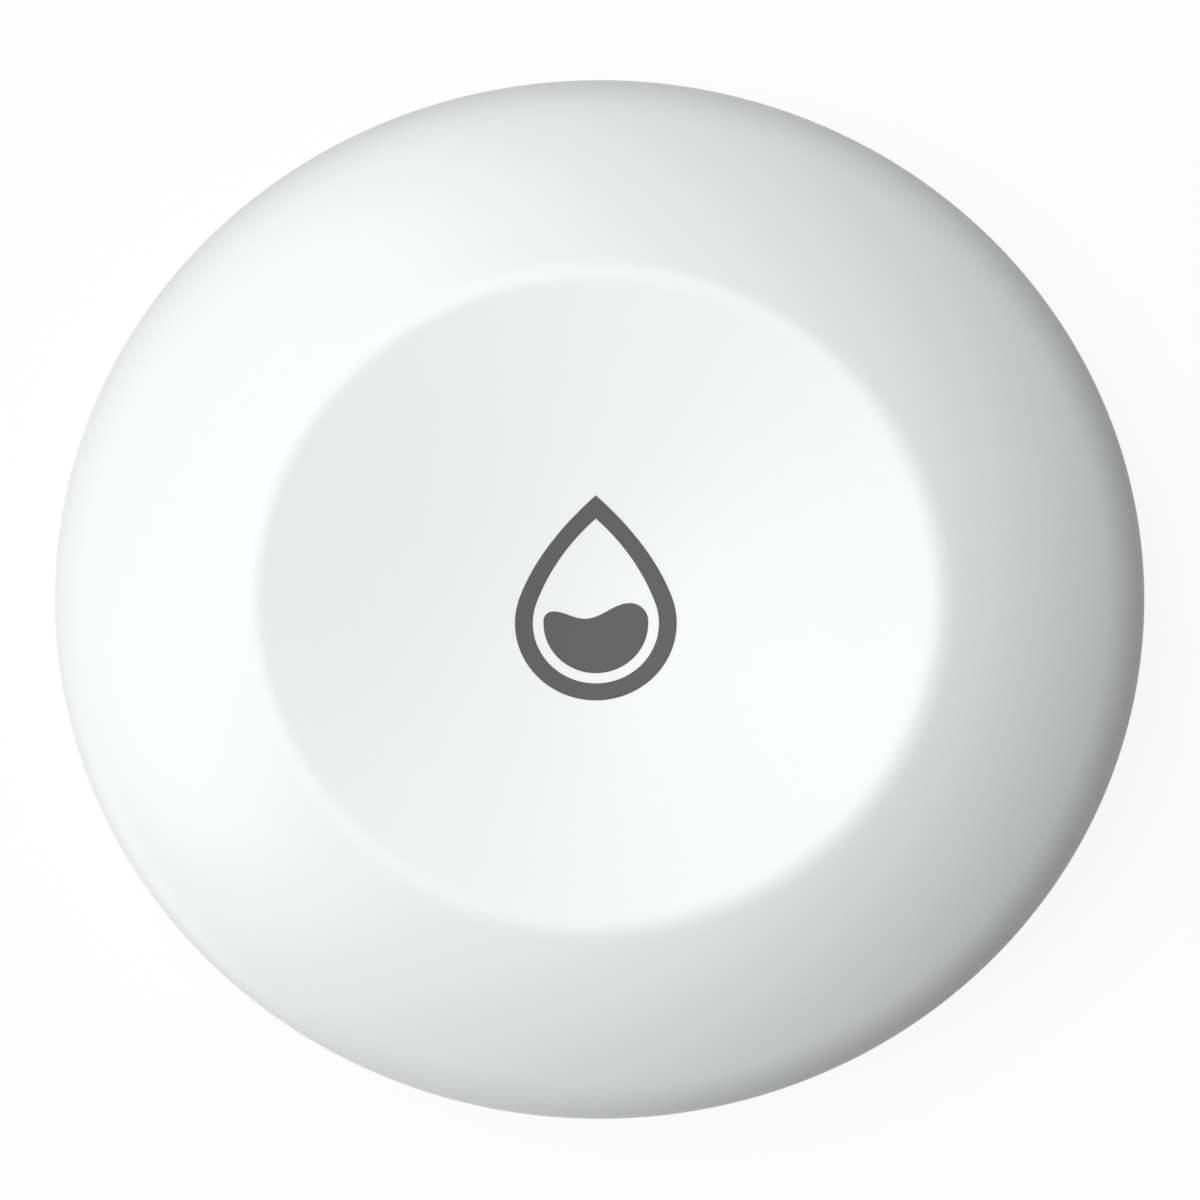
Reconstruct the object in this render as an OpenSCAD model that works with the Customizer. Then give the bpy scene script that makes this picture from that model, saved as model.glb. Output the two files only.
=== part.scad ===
// Water leak sensor: an oval puck with a dished top that is pressed to test it,
// two water probes underneath and a coin cell behind a threaded door.
// Millimetres. Origin in the middle of the surface it stands on, +Z up, tip of the drop towards +Y.

/* [Body] */
// Width of the body, left to right
body_w = 51.2; // [51:0.1:62]
// Depth of the body, front to back
body_d = 48.8; // [48.6:0.1:60]
// Height from the floor to the crest of the rim
body_h = 16; // [16:0.1:20]
// Wall of the shell and the base
wall = 1.8; // [1.5:0.05:2.2]
// Height of the widest line of the body
waist_z = 8.2; // [8:0.1:8.8]
// Height of the shoulder of the base, where the shell begins
seam_z = 7.2; // [6.9:0.1:7.5]
// Open joint line between the shell and the base
seam_gap = 0.3; // [0.2:0.05:0.5]
// Height of the underside above the floor
under_z = 1.2; // [1:0.1:1.3]

/* [Dish] */
// Diameter of the crest around the dish, front to back
crest_d = 30.0; // [25:0.1:31]
// Rounding over the crest
crest_round = 2.6; // [1.5:0.1:3]
// Depth of the dish below its edge
dish_depth = 1.4; // [0.8:0.1:1.6]
// Thickness of the dish
dish_t = 1.4; // [1.1:0.1:1.6]
// Joint around the dish
dish_gap = 0.05; // [0.03:0.01:0.1]
// Travel of the dish when it is pressed
press_travel = 0.3; // [0.2:0.05:0.4]

/* [Drop pictogram] */
// Radius of the round end of the drop
mark_r = 3.575; // [2.5:0.025:4]
// Width of the outline
mark_line = 0.79; // [0.5:0.01:0.9]
// Depth of the grey plastic in the dish
mark_t = 0.4; // [0.3:0.05:0.6]

/* [Battery] */
// Diameter of the coin cell
cell_d = 20; // [16:0.5:20.5]
// Height of the coin cell
cell_h = 3.2; // [2.5:0.1:3.2]
// Drop of the door in one full turn
thread_lead = 6.6; // [6.3:0.1:8]
// Length of each thread rib around the door, in degrees
thread_arc = 50; // [35:1:52]

/* [Electronics] */
// Diameter of the circuit board
board_d = 41; // [40:0.5:42]
// Thickness of the circuit board
board_t = 1; // [0.8:0.1:1.2]
// Side of the tactile switch
switch_w = 6.2; // [5.2:0.1:6.5]
// Height of the tactile switch without its plunger
switch_h = 1.8; // [1.6:0.1:1.9]

/* [Fasteners and probes] */
// Radius of a foot
foot_r = 2.3; // [2:0.05:2.4]
// Radius of the thread of a case screw
case_screw_r = 1.05; // [0.9:0.05:1.2]
// Radius of a probe head
probe_head_r = 2.3; // [2.1:0.05:2.4]
// Height of the probe heads above the floor, the water level that is sensed
probe_z = 0.5; // [0.3:0.1:0.6]

/* [Hidden] */
$fn = 64;

// Fits that are used throughout
fit = 0.05;
overlap = 0.2;
far = 40;

// Slopes of the outline, as the tilt of its outward normal from straight up
rim_share = 0.4644;
edge_share = 1.0265;
slope_side = 115;
side_round = 12;
half_d = body_d / 2;

// Crest, shoulder and edge are arcs that run into each other between the crest and the waist
crest_c = [crest_d / 2, body_h - crest_round];
crest_fall = atan2(body_h - waist_z, half_d - crest_c.x);
slope_rim = rim_share * crest_fall;
slope_edge = edge_share * crest_fall;
rim_start = crest_c + crest_round * [sin(slope_rim), cos(slope_rim)];
rim_run = half_d - rim_start.x;
rim_fall = rim_start.y - waist_z;
turn_run = sin(slope_edge) - sin(slope_rim);
turn_fall = cos(slope_rim) - cos(slope_edge);
edge_round = (rim_fall * turn_run - rim_run * turn_fall)
           / (cos(slope_edge) * turn_run - (1 - sin(slope_edge)) * turn_fall);
shoulder_round = (rim_run - edge_round * (1 - sin(slope_edge))) / turn_run;
shoulder_c = crest_c + (crest_round - shoulder_round) * [sin(slope_rim), cos(slope_rim)];
edge_c = [half_d - edge_round, waist_z];
side_c = [half_d - side_round, waist_z];
corner_round = (waist_z - under_z + side_round * cos(slope_side)) / (1 + cos(slope_side));
corner_c = side_c + (side_round - corner_round) * [sin(slope_side), cos(slope_side)];

// Dish: a bowl that grows steeper towards its edge, where it runs into the crest
bowl_share = 0.5;
bowl_grow = sqrt(1 + bowl_share * bowl_share);
dish_slope = 8;
dish_edge_r = crest_c.x - crest_round * sin(dish_slope);
dish_edge_z = crest_c.y + crest_round * cos(dish_slope);
press_r = dish_edge_r - 0.45;
dish_r = press_r - dish_gap;
dish_middle_z = dish_edge_z - dish_depth;
lip_z = shoulder_c.y + (shoulder_round - wall) * cos(slope_rim);
lip_r = shoulder_c.x + (shoulder_round - wall) * sin(slope_rim);

// Rim, seal groove and snap tabs of the dish
dish_rim_t = 1.55;
dish_seal_r = 0.4;
groove_r = dish_r - 2 * dish_seal_r - fit;
groove_z = lip_z + 0.15;
groove_h = 2 * dish_seal_r + 2 * fit;
tab_t = 0.9;
tab_w = 6;
tab_reach = 0.95;
tab_z = lip_z - fit - tab_t;

// Pictogram, drawn before it is stretched with the body
mark_y = -0.308 * mark_r;
mark_tip = 1.659 * mark_r;
mark_tip_angle = 47;
mark_side_angle = 20;
pool_r = mark_r - mark_line - 0.47;
pool_rise = 0.12;
pool_high_r = 0.353 * pool_r;
pool_low_r = 0.185 * pool_r;
pool_dip = [-0.207 * pool_r, mark_y + 0.09 * pool_r];
mark_fit = 0.02;

// Lap joint between the shell and the base
skirt_t = 0.95;
tongue_t = 1;
tongue_h = 2.4;
tongue_r = half_d - skirt_t - 2 * fit;
tongue_z = seam_z + tongue_h;
case_seal_t = 0.6;
case_step_z = tongue_z + case_seal_t;

// Floor of the base
floor_z = under_z + wall;

// Door: cup for the cell, threaded wall, flange with its seal
cell_gap = 0.2;
cup_t = 1;
rib_t = 0.7;
rib_h = 0.9;
rib_flank = 0.2;
rib_gap = 0.2;
rib_steps = 12;
cup_r = cell_d / 2 + cell_gap;
boss_r = cup_r + cup_t;
bore_r = boss_r + rib_t + rib_gap;
door_seal_r = 0.6;
seal_mid_r = bore_r + 1.15;
seal_groove_w = 2 * door_seal_r + 2 * fit;
flange_r = seal_mid_r + door_seal_r + 0.55;
flange_t = 1.45;
flange_top_z = under_z + flange_t;
counterbore_z = flange_top_z + fit;
seal_groove_z = flange_top_z - 0.5;
seal_mid_z = seal_groove_z + fit + door_seal_r;
rib_z = counterbore_z + 0.2;
door_rib_z = rib_z + rib_h + rib_gap;
boss_top_z = door_rib_z + rib_h + thread_lead * thread_arc / 360 + 0.1;
collar_t = 1.4;
collar_z = boss_top_z;
collar_foot_r = flange_r + 0.8;
collar_foot_z = seal_mid_z + door_seal_r + 1;
cell_z = 4.2;
core_r = cell_d / 2 - 1.6;
core_z = 2.9;
slot_l = 13;
slot_w = 2;
slot_t = 0.9;
cell_top_z = cell_z + cell_h;
cap_r = cell_d / 2 - 1.2;
cap_t = 0.35;

// Ring of feet, screws and probes, clear of the door below and of the dish above
boss_out_r = 2.4;
ring_r = max(flange_r + 1.05 + foot_r, press_r * max(1, body_w / body_d) + boss_out_r);
screw_angles = [45, 135, 225, 315];
probe_angles = [0, 180];
post_angles = [90, 270];
foot_seat_z = under_z + 0.8;
head_t = 1.3;
head_r = case_screw_r + 0.65;
head_seat_z = foot_seat_z + 0.1 + head_t;
pillar_r = 3;
pillar_z = head_seat_z + 1.6;
screw_l = 6.4;
drive_w = 0.5;
drive_l = 2 * head_r - 1.4;
drive_t = 0.8;

// Board stack
clip_t = 0.25;
contact_room = 1.6;
board_z = cell_top_z + contact_room;
board_top_z = board_z + board_t;
board_gap = 0.4;
post_r = 1.7;
pin_r = 0.9;
switch_top_z = board_top_z + switch_h;
plunger_r = 1.6;
plunger_flange_r = 2.2;
plunger_flange_t = 0.35;
plunger_proud = 0.6;
cover_t = 0.3;
plunger_flange_z = switch_top_z - cover_t - fit - plunger_flange_t;
switch_well_z = plunger_flange_z - press_travel - 6 * fit;
plunger_top_z = switch_top_z + plunger_proud;
post_bottom_z = plunger_top_z + fit;
dish_post_r = 2;

// Probes and standoffs
probe_shank_r = 1.5;
probe_head_t = 1.2;
probe_seal_r = 0.3;
probe_seat_z = probe_z + probe_head_t + 2 * probe_seal_r + 2 * fit;
probe_boss_r = 3.4;
probe_boss_z = probe_seat_z + 1.8;
bush_r = 2.5;
bush_bore_z = probe_boss_z + 2.1;
board_screw_r = 1;
board_screw_l = 2.4;
board_head_r = 1.9;

// Dimensions of the small electronic parts: size and place of each
can_size = [10, 12, 1.9];
can_at = [-9.4, 0];
can_t = 0.25;
chip_size = [6, 6, 0.9];
chip_at = [-10.4, 1.6];
crystal_size = [3.2, 2.5, 0.75];
crystal_at = [-7.2, -3.9];
led_size = [2, 1.25, 0.8];
led_at = [0, -6.2];
smd_size = [1.6, 0.8, 0.8];
smd_columns = [5.6, 8.2];
smd_rows = [4.6, 6.4, 8.2];
antenna_at = [12, 0];
antenna_l = 12;
antenna_h = 2.3;
antenna_leg = 1;
antenna_t = 0.3;

// Points of an arc after its first, given by the tilt of its outward normal from straight up
function turned(c, r, from, to, n) =
    [for (i = [1:n]) let (s = from + (to - from) * i / n) c + r * [sin(s), cos(s)]];
// Points of an arc, given by the usual angle
function arc(c, r, from, to, n) =
    [for (i = [0:n]) let (a = from + (to - from) * i / n) c + r * [cos(a), sin(a)]];
// Points of a smooth step from p to q that is level at both ends
function swell(p, q, n) =
    [for (i = [1:n - 1]) let (t = i / n) [p.x + (q.x - p.x) * t, p.y + (q.y - p.y) * (1 - cos(180 * t)) / 2]];
// Points of a curve from p to q that leaves and arrives along the lines to c
function bent(p, c, q, n) =
    [for (i = [0:n - 1]) let (t = i / n) (1 - t) * (1 - t) * p + 2 * t * (1 - t) * c + t * t * q];
// The same points in the opposite order
function reversed(list) = [for (i = [len(list) - 1:-1:0]) list[i]];
// Points mirrored from right to left
function mirrored(list) = [for (p = reversed(list)) [-p.x, p.y]];
// Height of the dish at a radius
function dish_height(r) =
    dish_middle_z + dish_depth * (sqrt(pow(r / dish_edge_r, 2) + bowl_share * bowl_share) - bowl_share)
                  / (bowl_grow - bowl_share);
// Points along the dish, lowered by drop
function dish_line(from, to, n, drop) =
    [for (i = [0:n]) let (r = from + (to - from) * i / n) [r, dish_height(r) - drop]];
// Outline from the crest to the waist and from the waist to the underside, moved in by inset
function upper_line(inset) = concat(
    turned(shoulder_c, shoulder_round - inset, slope_rim, slope_edge, 5),
    turned(edge_c, edge_round - inset, slope_edge, 90, 6));
function lower_line(inset) = concat(
    turned(side_c, side_round - inset, 90, slope_side, 4),
    turned(corner_c, corner_round - inset, slope_side, 180, 5));
// Outline of a strip of sheet, t thick, along a path
function strip(path, t) = let (
    last = len(path) - 1,
    side = [for (i = [0:last]) let (
        d = path[min(i + 1, last)] - path[max(i - 1, 0)]) [-d.y, d.x] / norm(d) * t])
    concat(path, reversed([for (i = [0:last]) path[i] + side[i]]));

// Stretches a round shape to the oval of the body
module oval() {
    scale([body_w / body_d, 1, 1])
        children();
}

// Turns a profile into an oval ring, one quarter at a time
module oval_turn() {
    for (a = [0:90:270])
        oval()
            rotate([0, 0, a])
                rotate_extrude(angle = 90)
                    children();
}

module around(angles, r) {
    for (a = angles)
        rotate([0, 0, a])
            translate([r, 0, 0])
                children();
}

module block(size, at, z) {
    translate([at.x - size.x / 2, at.y - size.y / 2, z])
        cube(size);
}

// Shell: the rim and outside of the dome, a skirt over the tongue of the base, a lip around the dish
module shell_ring() {
    outside = [for (p = lower_line(0)) if (p.y > seam_z + seam_gap) p];
    oval_turn()
        polygon(concat(
            dish_line(press_r, dish_edge_r, 1, 0),
            turned(crest_c, crest_round, -dish_slope, slope_rim, 5),
            upper_line(0),
            outside,
            [[half_d - fit, seam_z + seam_gap],
             [half_d - skirt_t, seam_z + seam_gap],
             [half_d - skirt_t, case_step_z],
             [half_d - wall - tongue_t, case_step_z]],
            reversed([for (p = upper_line(wall)) if (p.y > case_step_z + 1) p]),
            [[lip_r, lip_z],
             [press_r, lip_z]]));
}

module shell_core() {
    oval()
        rotate_extrude()
            polygon(concat([[0, 0], [0, body_h - wall]], upper_line(wall / 2), [[half_d - wall / 2, 0]]));
}

module top_shell() {
    color("white")
        difference() {
            union() {
                shell_ring();
                intersection() {
                    around(screw_angles, ring_r)
                        translate([0, 0, pillar_z])
                            cylinder(h = body_h, r = boss_out_r);
                    shell_core();
                }
            }
            around(screw_angles, ring_r)
                translate([0, 0, pillar_z - overlap])
                    cylinder(h = screw_l, r = case_screw_r + fit);
        }
}

// Drop: round end, two bowed sides that meet in a tip
module drop_2d() {
    tip = [0, mark_y + mark_tip];
    touch = [0, mark_y] + mark_r * [cos(mark_side_angle), sin(mark_side_angle)];
    gap = touch - tip;
    reach = (gap.x * cos(mark_side_angle) + gap.y * sin(mark_side_angle))
          / (sin(mark_tip_angle) * cos(mark_side_angle) - cos(mark_tip_angle) * sin(mark_side_angle));
    bow = tip + reach * [sin(mark_tip_angle), -cos(mark_tip_angle)];
    side = bent(tip, bow, touch, 10);
    polygon(concat(
        side,
        arc([0, mark_y], mark_r, mark_side_angle, -180 - mark_side_angle, 44),
        mirrored([for (i = [1:9]) side[i]])));
}

// Pool: round below, a low crest on the left, a dip and a high crest on the right
module pool_2d() {
    high = [pool_r - pool_high_r, mark_y + pool_rise];
    low = [pool_low_r - pool_r, mark_y + pool_rise];
    polygon(concat(
        arc(high, pool_high_r, 0, 90, 8),
        swell(high + [0, pool_high_r], pool_dip, 8),
        [pool_dip],
        swell(pool_dip, low + [0, pool_low_r], 8),
        arc(low, pool_low_r, 90, 180, 8),
        arc([0, mark_y], pool_r, 180, 360, 32)));
}

module mark_2d() {
    difference() {
        drop_2d();
        offset(delta = -mark_line)
            drop_2d();
    }
    pool_2d();
}

// Slice of the dish from its surface down, as far out as the pictogram reaches
module mark_layer(top, bottom) {
    reach = mark_tip + mark_r;
    rotate_extrude()
        polygon(concat(dish_line(0, reach, 6, bottom), reversed(dish_line(0, reach, 6, -top))));
}

module drop_mark() {
    color("dimgray")
        oval()
            intersection() {
                linear_extrude(body_h)
                    mark_2d();
                mark_layer(0, mark_t);
            }
}

module dish_plate() {
    rim_in = dish_r - dish_rim_t;
    oval_turn()
        polygon(concat(
            dish_line(0, mark_tip + mark_r, 6, 0),
            dish_line(mark_tip + mark_r + 1, dish_r, 4, 0),
            [[dish_r, groove_z + groove_h],
             [groove_r, groove_z + groove_h],
             [groove_r, groove_z],
             [dish_r, groove_z],
             [dish_r, tab_z],
             [rim_in, tab_z]],
            reversed(dish_line(0, rim_in, 6, dish_t))));
}

module press_dish() {
    color("white")
        difference() {
            union() {
                dish_plate();
                intersection() {
                    oval_turn()
                        translate([dish_r - overlap, tab_z])
                            square([tab_reach + overlap, tab_t]);
                    union() {
                        block([far, tab_w, far], [0, 0], 0);
                        block([tab_w, far, far], [0, 0], 0);
                    }
                }
                translate([0, 0, post_bottom_z])
                    cylinder(h = dish_middle_z - dish_t + overlap - post_bottom_z, r = dish_post_r);
            }
            oval()
                intersection() {
                    linear_extrude(body_h)
                        offset(delta = mark_fit)
                            mark_2d();
                    mark_layer(1, mark_t + mark_fit);
                }
        }
}

module dish_seal() {
    color("gainsboro")
        oval_turn()
            translate([groove_r + fit / 2 + dish_seal_r, groove_z + groove_h / 2])
                circle(r = dish_seal_r, $fn = 12);
}

// Thread rib: a helical ridge from the root radius to the tip radius
module thread_rib(root, tip, z) {
    across = tip > root
        ? [[root, 0], [tip, rib_flank], [tip, rib_h - rib_flank], [root, rib_h]]
        : [[tip, rib_flank], [root, 0], [root, rib_h], [tip, rib_h - rib_flank]];
    points = [for (i = [0:rib_steps]) let (a = thread_arc * i / rib_steps)
        for (p = across) [p.x * cos(a), p.x * sin(a), z + p.y + thread_lead * a / 360]];
    sides = [for (i = [0:rib_steps - 1]) for (j = [0:3]) let (
        p = 4 * i + j,
        q = 4 * i + (j + 1) % 4)
        each [[p, q, p + 4], [q, q + 4, p + 4]]];
    end = 4 * rib_steps;
    caps = [[0, 2, 1], [0, 3, 2], [end, end + 1, end + 2], [end, end + 2, end + 3]];
    polyhedron(points, concat(sides, caps));
}

module base_bowl() {
    outside = [for (p = lower_line(0)) if (p.y < seam_z) p];
    inside = [for (p = lower_line(wall)) if (p.y < seam_z - 1) p];
    oval_turn()
        polygon(concat(
            [[0, under_z]],
            reversed(outside),
            [[half_d - fit, seam_z],
             [tongue_r, seam_z],
             [tongue_r, tongue_z],
             [tongue_r - tongue_t, tongue_z]],
            inside,
            [[0, floor_z]]));
}

module base_inside() {
    cylinder_from(floor_z - overlap, collar_foot_z, collar_foot_r);
    cylinder_from(floor_z - overlap, collar_z, bore_r + collar_t);
    around(screw_angles, ring_r)
        cylinder_from(floor_z - overlap, pillar_z, pillar_r);
    around(probe_angles, ring_r)
        cylinder_from(floor_z - overlap, probe_boss_z, probe_boss_r);
    around(post_angles, ring_r) {
        cylinder_from(floor_z - overlap, board_z, post_r);
        cylinder_from(floor_z - overlap, board_top_z + fit, pin_r);
    }
}

module cylinder_from(low, high, r) {
    translate([0, 0, low])
        cylinder(h = high - low, r = r);
}

module base() {
    color("whitesmoke") {
        difference() {
            union() {
                base_bowl();
                base_inside();
            }
            cylinder_from(0, counterbore_z, flange_r + 3 * fit);
            cylinder_from(0, far, bore_r);
            rotate_extrude()
                translate([seal_mid_r - seal_groove_w / 2, under_z])
                    square([seal_groove_w, seal_mid_z + door_seal_r + fit - under_z]);
            around(screw_angles, ring_r) {
                cylinder_from(0, foot_seat_z, foot_r + fit);
                cylinder_from(0, head_seat_z, head_r + fit);
                cylinder_from(0, far, case_screw_r + 2 * fit);
            }
            around(probe_angles, ring_r) {
                cylinder_from(0, probe_seat_z, probe_head_r + 2 * fit);
                cylinder_from(0, far, probe_shank_r + fit);
            }
        }
        for (a = [0, 120, 240])
            rotate([0, 0, a])
                thread_rib(bore_r + overlap, bore_r - rib_t, rib_z);
    }
}

module case_seal() {
    color("gainsboro")
        oval_turn()
            translate([tongue_r - tongue_t + fit, tongue_z])
                square([tongue_t - fit, case_seal_t]);
}

// Screw with its head below z, its shank upwards and a cross recess in the head
module screw_up(z, shank_r, shank_l, r) {
    difference() {
        union() {
            cylinder_from(z - head_t, z, r);
            cylinder_from(z - overlap, z + shank_l, shank_r);
        }
        block([drive_l, drive_w, 2 * drive_t], [0, 0], z - head_t - drive_t);
        block([drive_w, drive_l, 2 * drive_t], [0, 0], z - head_t - drive_t);
    }
}

module case_screws() {
    color("silver")
        around(screw_angles, ring_r)
            screw_up(head_seat_z, case_screw_r, screw_l - overlap, head_r);
}

module feet() {
    color("gray")
        around(screw_angles, ring_r)
            rotate_extrude()
                polygon([[0, 0], [foot_r - 0.6, 0], [foot_r - 0.18, 0.18], [foot_r, 0.6],
                         [foot_r, foot_seat_z], [0, foot_seat_z]]);
}

module battery_door() {
    color("whitesmoke") {
        difference() {
            union() {
                cylinder_from(under_z, flange_top_z, flange_r);
                cylinder_from(under_z, boss_top_z, boss_r);
            }
            cylinder_from(cell_z, far, cup_r);
            cylinder_from(core_z, far, core_r);
            rotate_extrude()
                translate([seal_mid_r - seal_groove_w / 2, seal_groove_z])
                    square([seal_groove_w, flange_t]);
            block([slot_l, slot_w, 2 * slot_t], [0, 0], under_z - slot_t);
        }
        for (a = [0, 120, 240])
            rotate([0, 0, a])
                thread_rib(boss_r - overlap, boss_r + rib_t, door_rib_z);
    }
}

module door_seal() {
    color("dimgray")
        rotate_extrude()
            translate([seal_mid_r, seal_mid_z])
                circle(r = door_seal_r);
}

module coin_cell() {
    color("silver")
        rotate_extrude()
            polygon([[0, cell_z + fit], [cell_d / 2 - 0.4, cell_z + fit], [cell_d / 2, cell_z + 0.4],
                     [cell_d / 2, cell_top_z - cap_t], [cap_r + 0.5, cell_top_z - cap_t],
                     [cap_r + 0.35, cell_top_z - 2 * cap_t], [cap_r, cell_top_z - 2 * cap_t],
                     [cap_r - 0.3, cell_top_z], [0, cell_top_z]]);
}

module circuit_board() {
    color("darkgreen")
        difference() {
            cylinder_from(board_z, board_top_z, board_d / 2);
            around(screw_angles, ring_r)
                cylinder_from(0, far, boss_out_r + board_gap);
            around(probe_angles, ring_r)
                cylinder_from(0, far, board_screw_r + 2 * fit);
            around(post_angles, ring_r)
                cylinder_from(0, far, pin_r + fit);
        }
}

module switch_body() {
    color("black")
        difference() {
            block([switch_w, switch_w, switch_h - cover_t], [0, 0], board_top_z);
            cylinder_from(switch_well_z, far, plunger_flange_r + fit);
        }
}

module switch_cover() {
    foot_w = 1.2;
    color("lightgray") {
        difference() {
            block([switch_w, switch_w, cover_t], [0, 0], switch_top_z - cover_t);
            cylinder_from(0, far, plunger_r + fit);
        }
        for (x = [-1, 1])
            for (y = [-1, 1])
                block([cover_t, foot_w, switch_h],
                      [x * (switch_w + cover_t) / 2, y * switch_w / 3], board_top_z);
    }
}

module switch_plunger() {
    color("dimgray") {
        cylinder_from(plunger_flange_z, plunger_flange_z + plunger_flange_t, plunger_flange_r - fit);
        cylinder_from(plunger_flange_z, plunger_top_z, plunger_r);
    }
}

module status_led() {
    color("ivory")
        block(led_size, led_at, board_top_z);
}

module radio_chip() {
    color("black")
        block(chip_size, chip_at, board_top_z);
}

module crystal() {
    color("silver")
        block(crystal_size, crystal_at, board_top_z);
}

module shield_can() {
    color("silver")
        difference() {
            block(can_size, can_at, board_top_z);
            block(can_size - [2 * can_t, 2 * can_t, 0], can_at, board_top_z - can_t);
        }
}

module antenna() {
    foot_y = antenna_l / 2 - antenna_leg;
    color("silver")
        translate([antenna_at.x, antenna_at.y, board_top_z]) {
            block([antenna_t, antenna_l, antenna_leg], [0, 0], antenna_h - antenna_leg);
            block([antenna_t, antenna_leg, antenna_h], [0, foot_y], 0);
            block([antenna_t, antenna_leg, antenna_h], [0, foot_y - 3 * antenna_leg], 0);
        }
}

module chip_parts() {
    color("tan")
        for (x = smd_columns)
            for (y = smd_rows)
                block(smd_size, [x, y], board_top_z);
}

// Positive contact: a flat ring under the board with three fingers bent in to the side of the cell
module cell_clip() {
    touch_r = cell_d / 2 + fit;
    finger_arc = 18;
    finger_t = clip_t - fit;
    finger_z = board_z - fit / 2;
    finger = strip([[touch_r + 1.4, finger_z],
                    [touch_r + 0.75, finger_z],
                    [touch_r + 0.45, finger_z - 0.3],
                    [touch_r, cell_top_z - 0.8],
                    [touch_r + 0.35, cell_top_z - 1.35]], finger_t);
    color("silver") {
        rotate_extrude()
            translate([touch_r + 1.1, board_z - clip_t])
                square([1.6, clip_t]);
        for (a = [30, 150, 270])
            rotate([0, 0, a - finger_arc / 2])
                rotate_extrude(angle = finger_arc)
                    polygon(finger);
    }
}

// Negative contact: a leaf that is soldered under the board and bears on the middle of the cell
module cell_spring() {
    leaf_w = 3;
    low_z = cell_top_z + fit;
    color("silver")
        translate([0, leaf_w / 2, 0])
            rotate([90, 0, 0])
                linear_extrude(leaf_w)
                    polygon(strip([[-7, board_z - clip_t], [-3.4, board_z - clip_t],
                                   [-2.6, board_z - clip_t - 0.2], [1.2, low_z + 0.1], [2, low_z],
                                   [2.8, low_z + 0.1], [4.4, low_z + 0.6]], clip_t));
}

module probe_studs() {
    color("gold")
        around(probe_angles, ring_r)
            difference() {
                rotate_extrude()
                    polygon([[0, probe_z], [probe_head_r - 0.9, probe_z], [probe_head_r - 0.3, probe_z + 0.2],
                             [probe_head_r, probe_z + 0.6], [probe_head_r, probe_z + probe_head_t],
                             [probe_shank_r, probe_z + probe_head_t], [probe_shank_r, bush_bore_z - overlap],
                             [0, bush_bore_z - overlap]]);
                block([2 * probe_head_r - 1, drive_w, 0.8], [0, 0], probe_z - 0.4);
            }
}

module probe_seals() {
    color("dimgray")
        around(probe_angles, ring_r)
            rotate_extrude()
                translate([probe_shank_r + fit + probe_seal_r, probe_z + probe_head_t + fit + probe_seal_r])
                    circle(r = probe_seal_r);
}

module probe_bushes() {
    color("goldenrod")
        around(probe_angles, ring_r)
            difference() {
                translate([0, 0, probe_boss_z])
                    rotate([0, 0, 30])
                        cylinder(h = board_z - probe_boss_z, r = bush_r, $fn = 6);
                cylinder_from(0, bush_bore_z, probe_shank_r + fit);
                cylinder_from(bush_bore_z - overlap, far, board_screw_r + fit);
            }
}

module board_screws() {
    color("silver")
        around(probe_angles, ring_r)
            translate([0, 0, 2 * board_top_z])
                mirror([0, 0, 1])
                    screw_up(board_top_z, board_screw_r, board_screw_l + board_t - 2 * overlap, board_head_r);
}

top_shell();
press_dish();
drop_mark();
dish_seal();
base();
case_seal();
case_screws();
feet();
battery_door();
door_seal();
coin_cell();
circuit_board();
switch_body();
switch_cover();
switch_plunger();
status_led();
radio_chip();
crystal();
shield_can();
antenna();
chip_parts();
cell_clip();
cell_spring();
probe_studs();
probe_seals();
probe_bushes();
board_screws();
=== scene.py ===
"""Water leak sensor: a low oval puck with a dished top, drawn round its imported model."""

import math
from collections import namedtuple
from types import SimpleNamespace

import bmesh
import bpy
from bpy.props import FloatProperty, FloatVectorProperty, PointerProperty
from bpy.types import Operator, Panel, PropertyGroup
from mathutils import Matrix, Vector


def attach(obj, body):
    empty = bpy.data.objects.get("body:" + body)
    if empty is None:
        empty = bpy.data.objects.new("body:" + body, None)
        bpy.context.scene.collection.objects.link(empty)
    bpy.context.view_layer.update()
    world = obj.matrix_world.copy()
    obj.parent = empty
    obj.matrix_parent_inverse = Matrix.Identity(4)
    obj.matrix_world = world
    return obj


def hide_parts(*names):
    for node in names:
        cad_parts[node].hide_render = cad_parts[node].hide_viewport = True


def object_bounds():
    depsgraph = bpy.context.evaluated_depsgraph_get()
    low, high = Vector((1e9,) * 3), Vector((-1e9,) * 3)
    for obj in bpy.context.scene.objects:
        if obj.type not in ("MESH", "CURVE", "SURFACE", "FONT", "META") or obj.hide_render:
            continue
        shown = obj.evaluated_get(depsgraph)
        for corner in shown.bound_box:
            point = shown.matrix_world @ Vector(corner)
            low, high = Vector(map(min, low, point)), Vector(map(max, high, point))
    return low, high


bl_info = {
    "name": "Water leak sensor",
    "version": (1, 0, 0),
    "blender": (4, 5, 0),
    "location": "View3D > Sidebar > Leak sensor",
    "description": "Builds the visible pieces and finishes of a water leak sensor",
    "category": "Mesh",
}

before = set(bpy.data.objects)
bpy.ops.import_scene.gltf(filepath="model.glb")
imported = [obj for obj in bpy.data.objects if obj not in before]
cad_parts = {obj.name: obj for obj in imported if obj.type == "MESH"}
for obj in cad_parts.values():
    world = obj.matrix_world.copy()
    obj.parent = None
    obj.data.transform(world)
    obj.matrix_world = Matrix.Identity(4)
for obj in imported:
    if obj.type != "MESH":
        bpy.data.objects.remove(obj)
CAD_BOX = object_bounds()
CAD_SIZE = CAD_BOX[1] - CAD_BOX[0]
MM = 0.001
FULL_TURN = 2 * math.pi

# Fineness of the meshes
ROUND_STEPS = 288
SMALL_STEPS = 72
SHARP_ANGLE = math.radians(32)
MERGE = 0.00005 * MM

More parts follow.
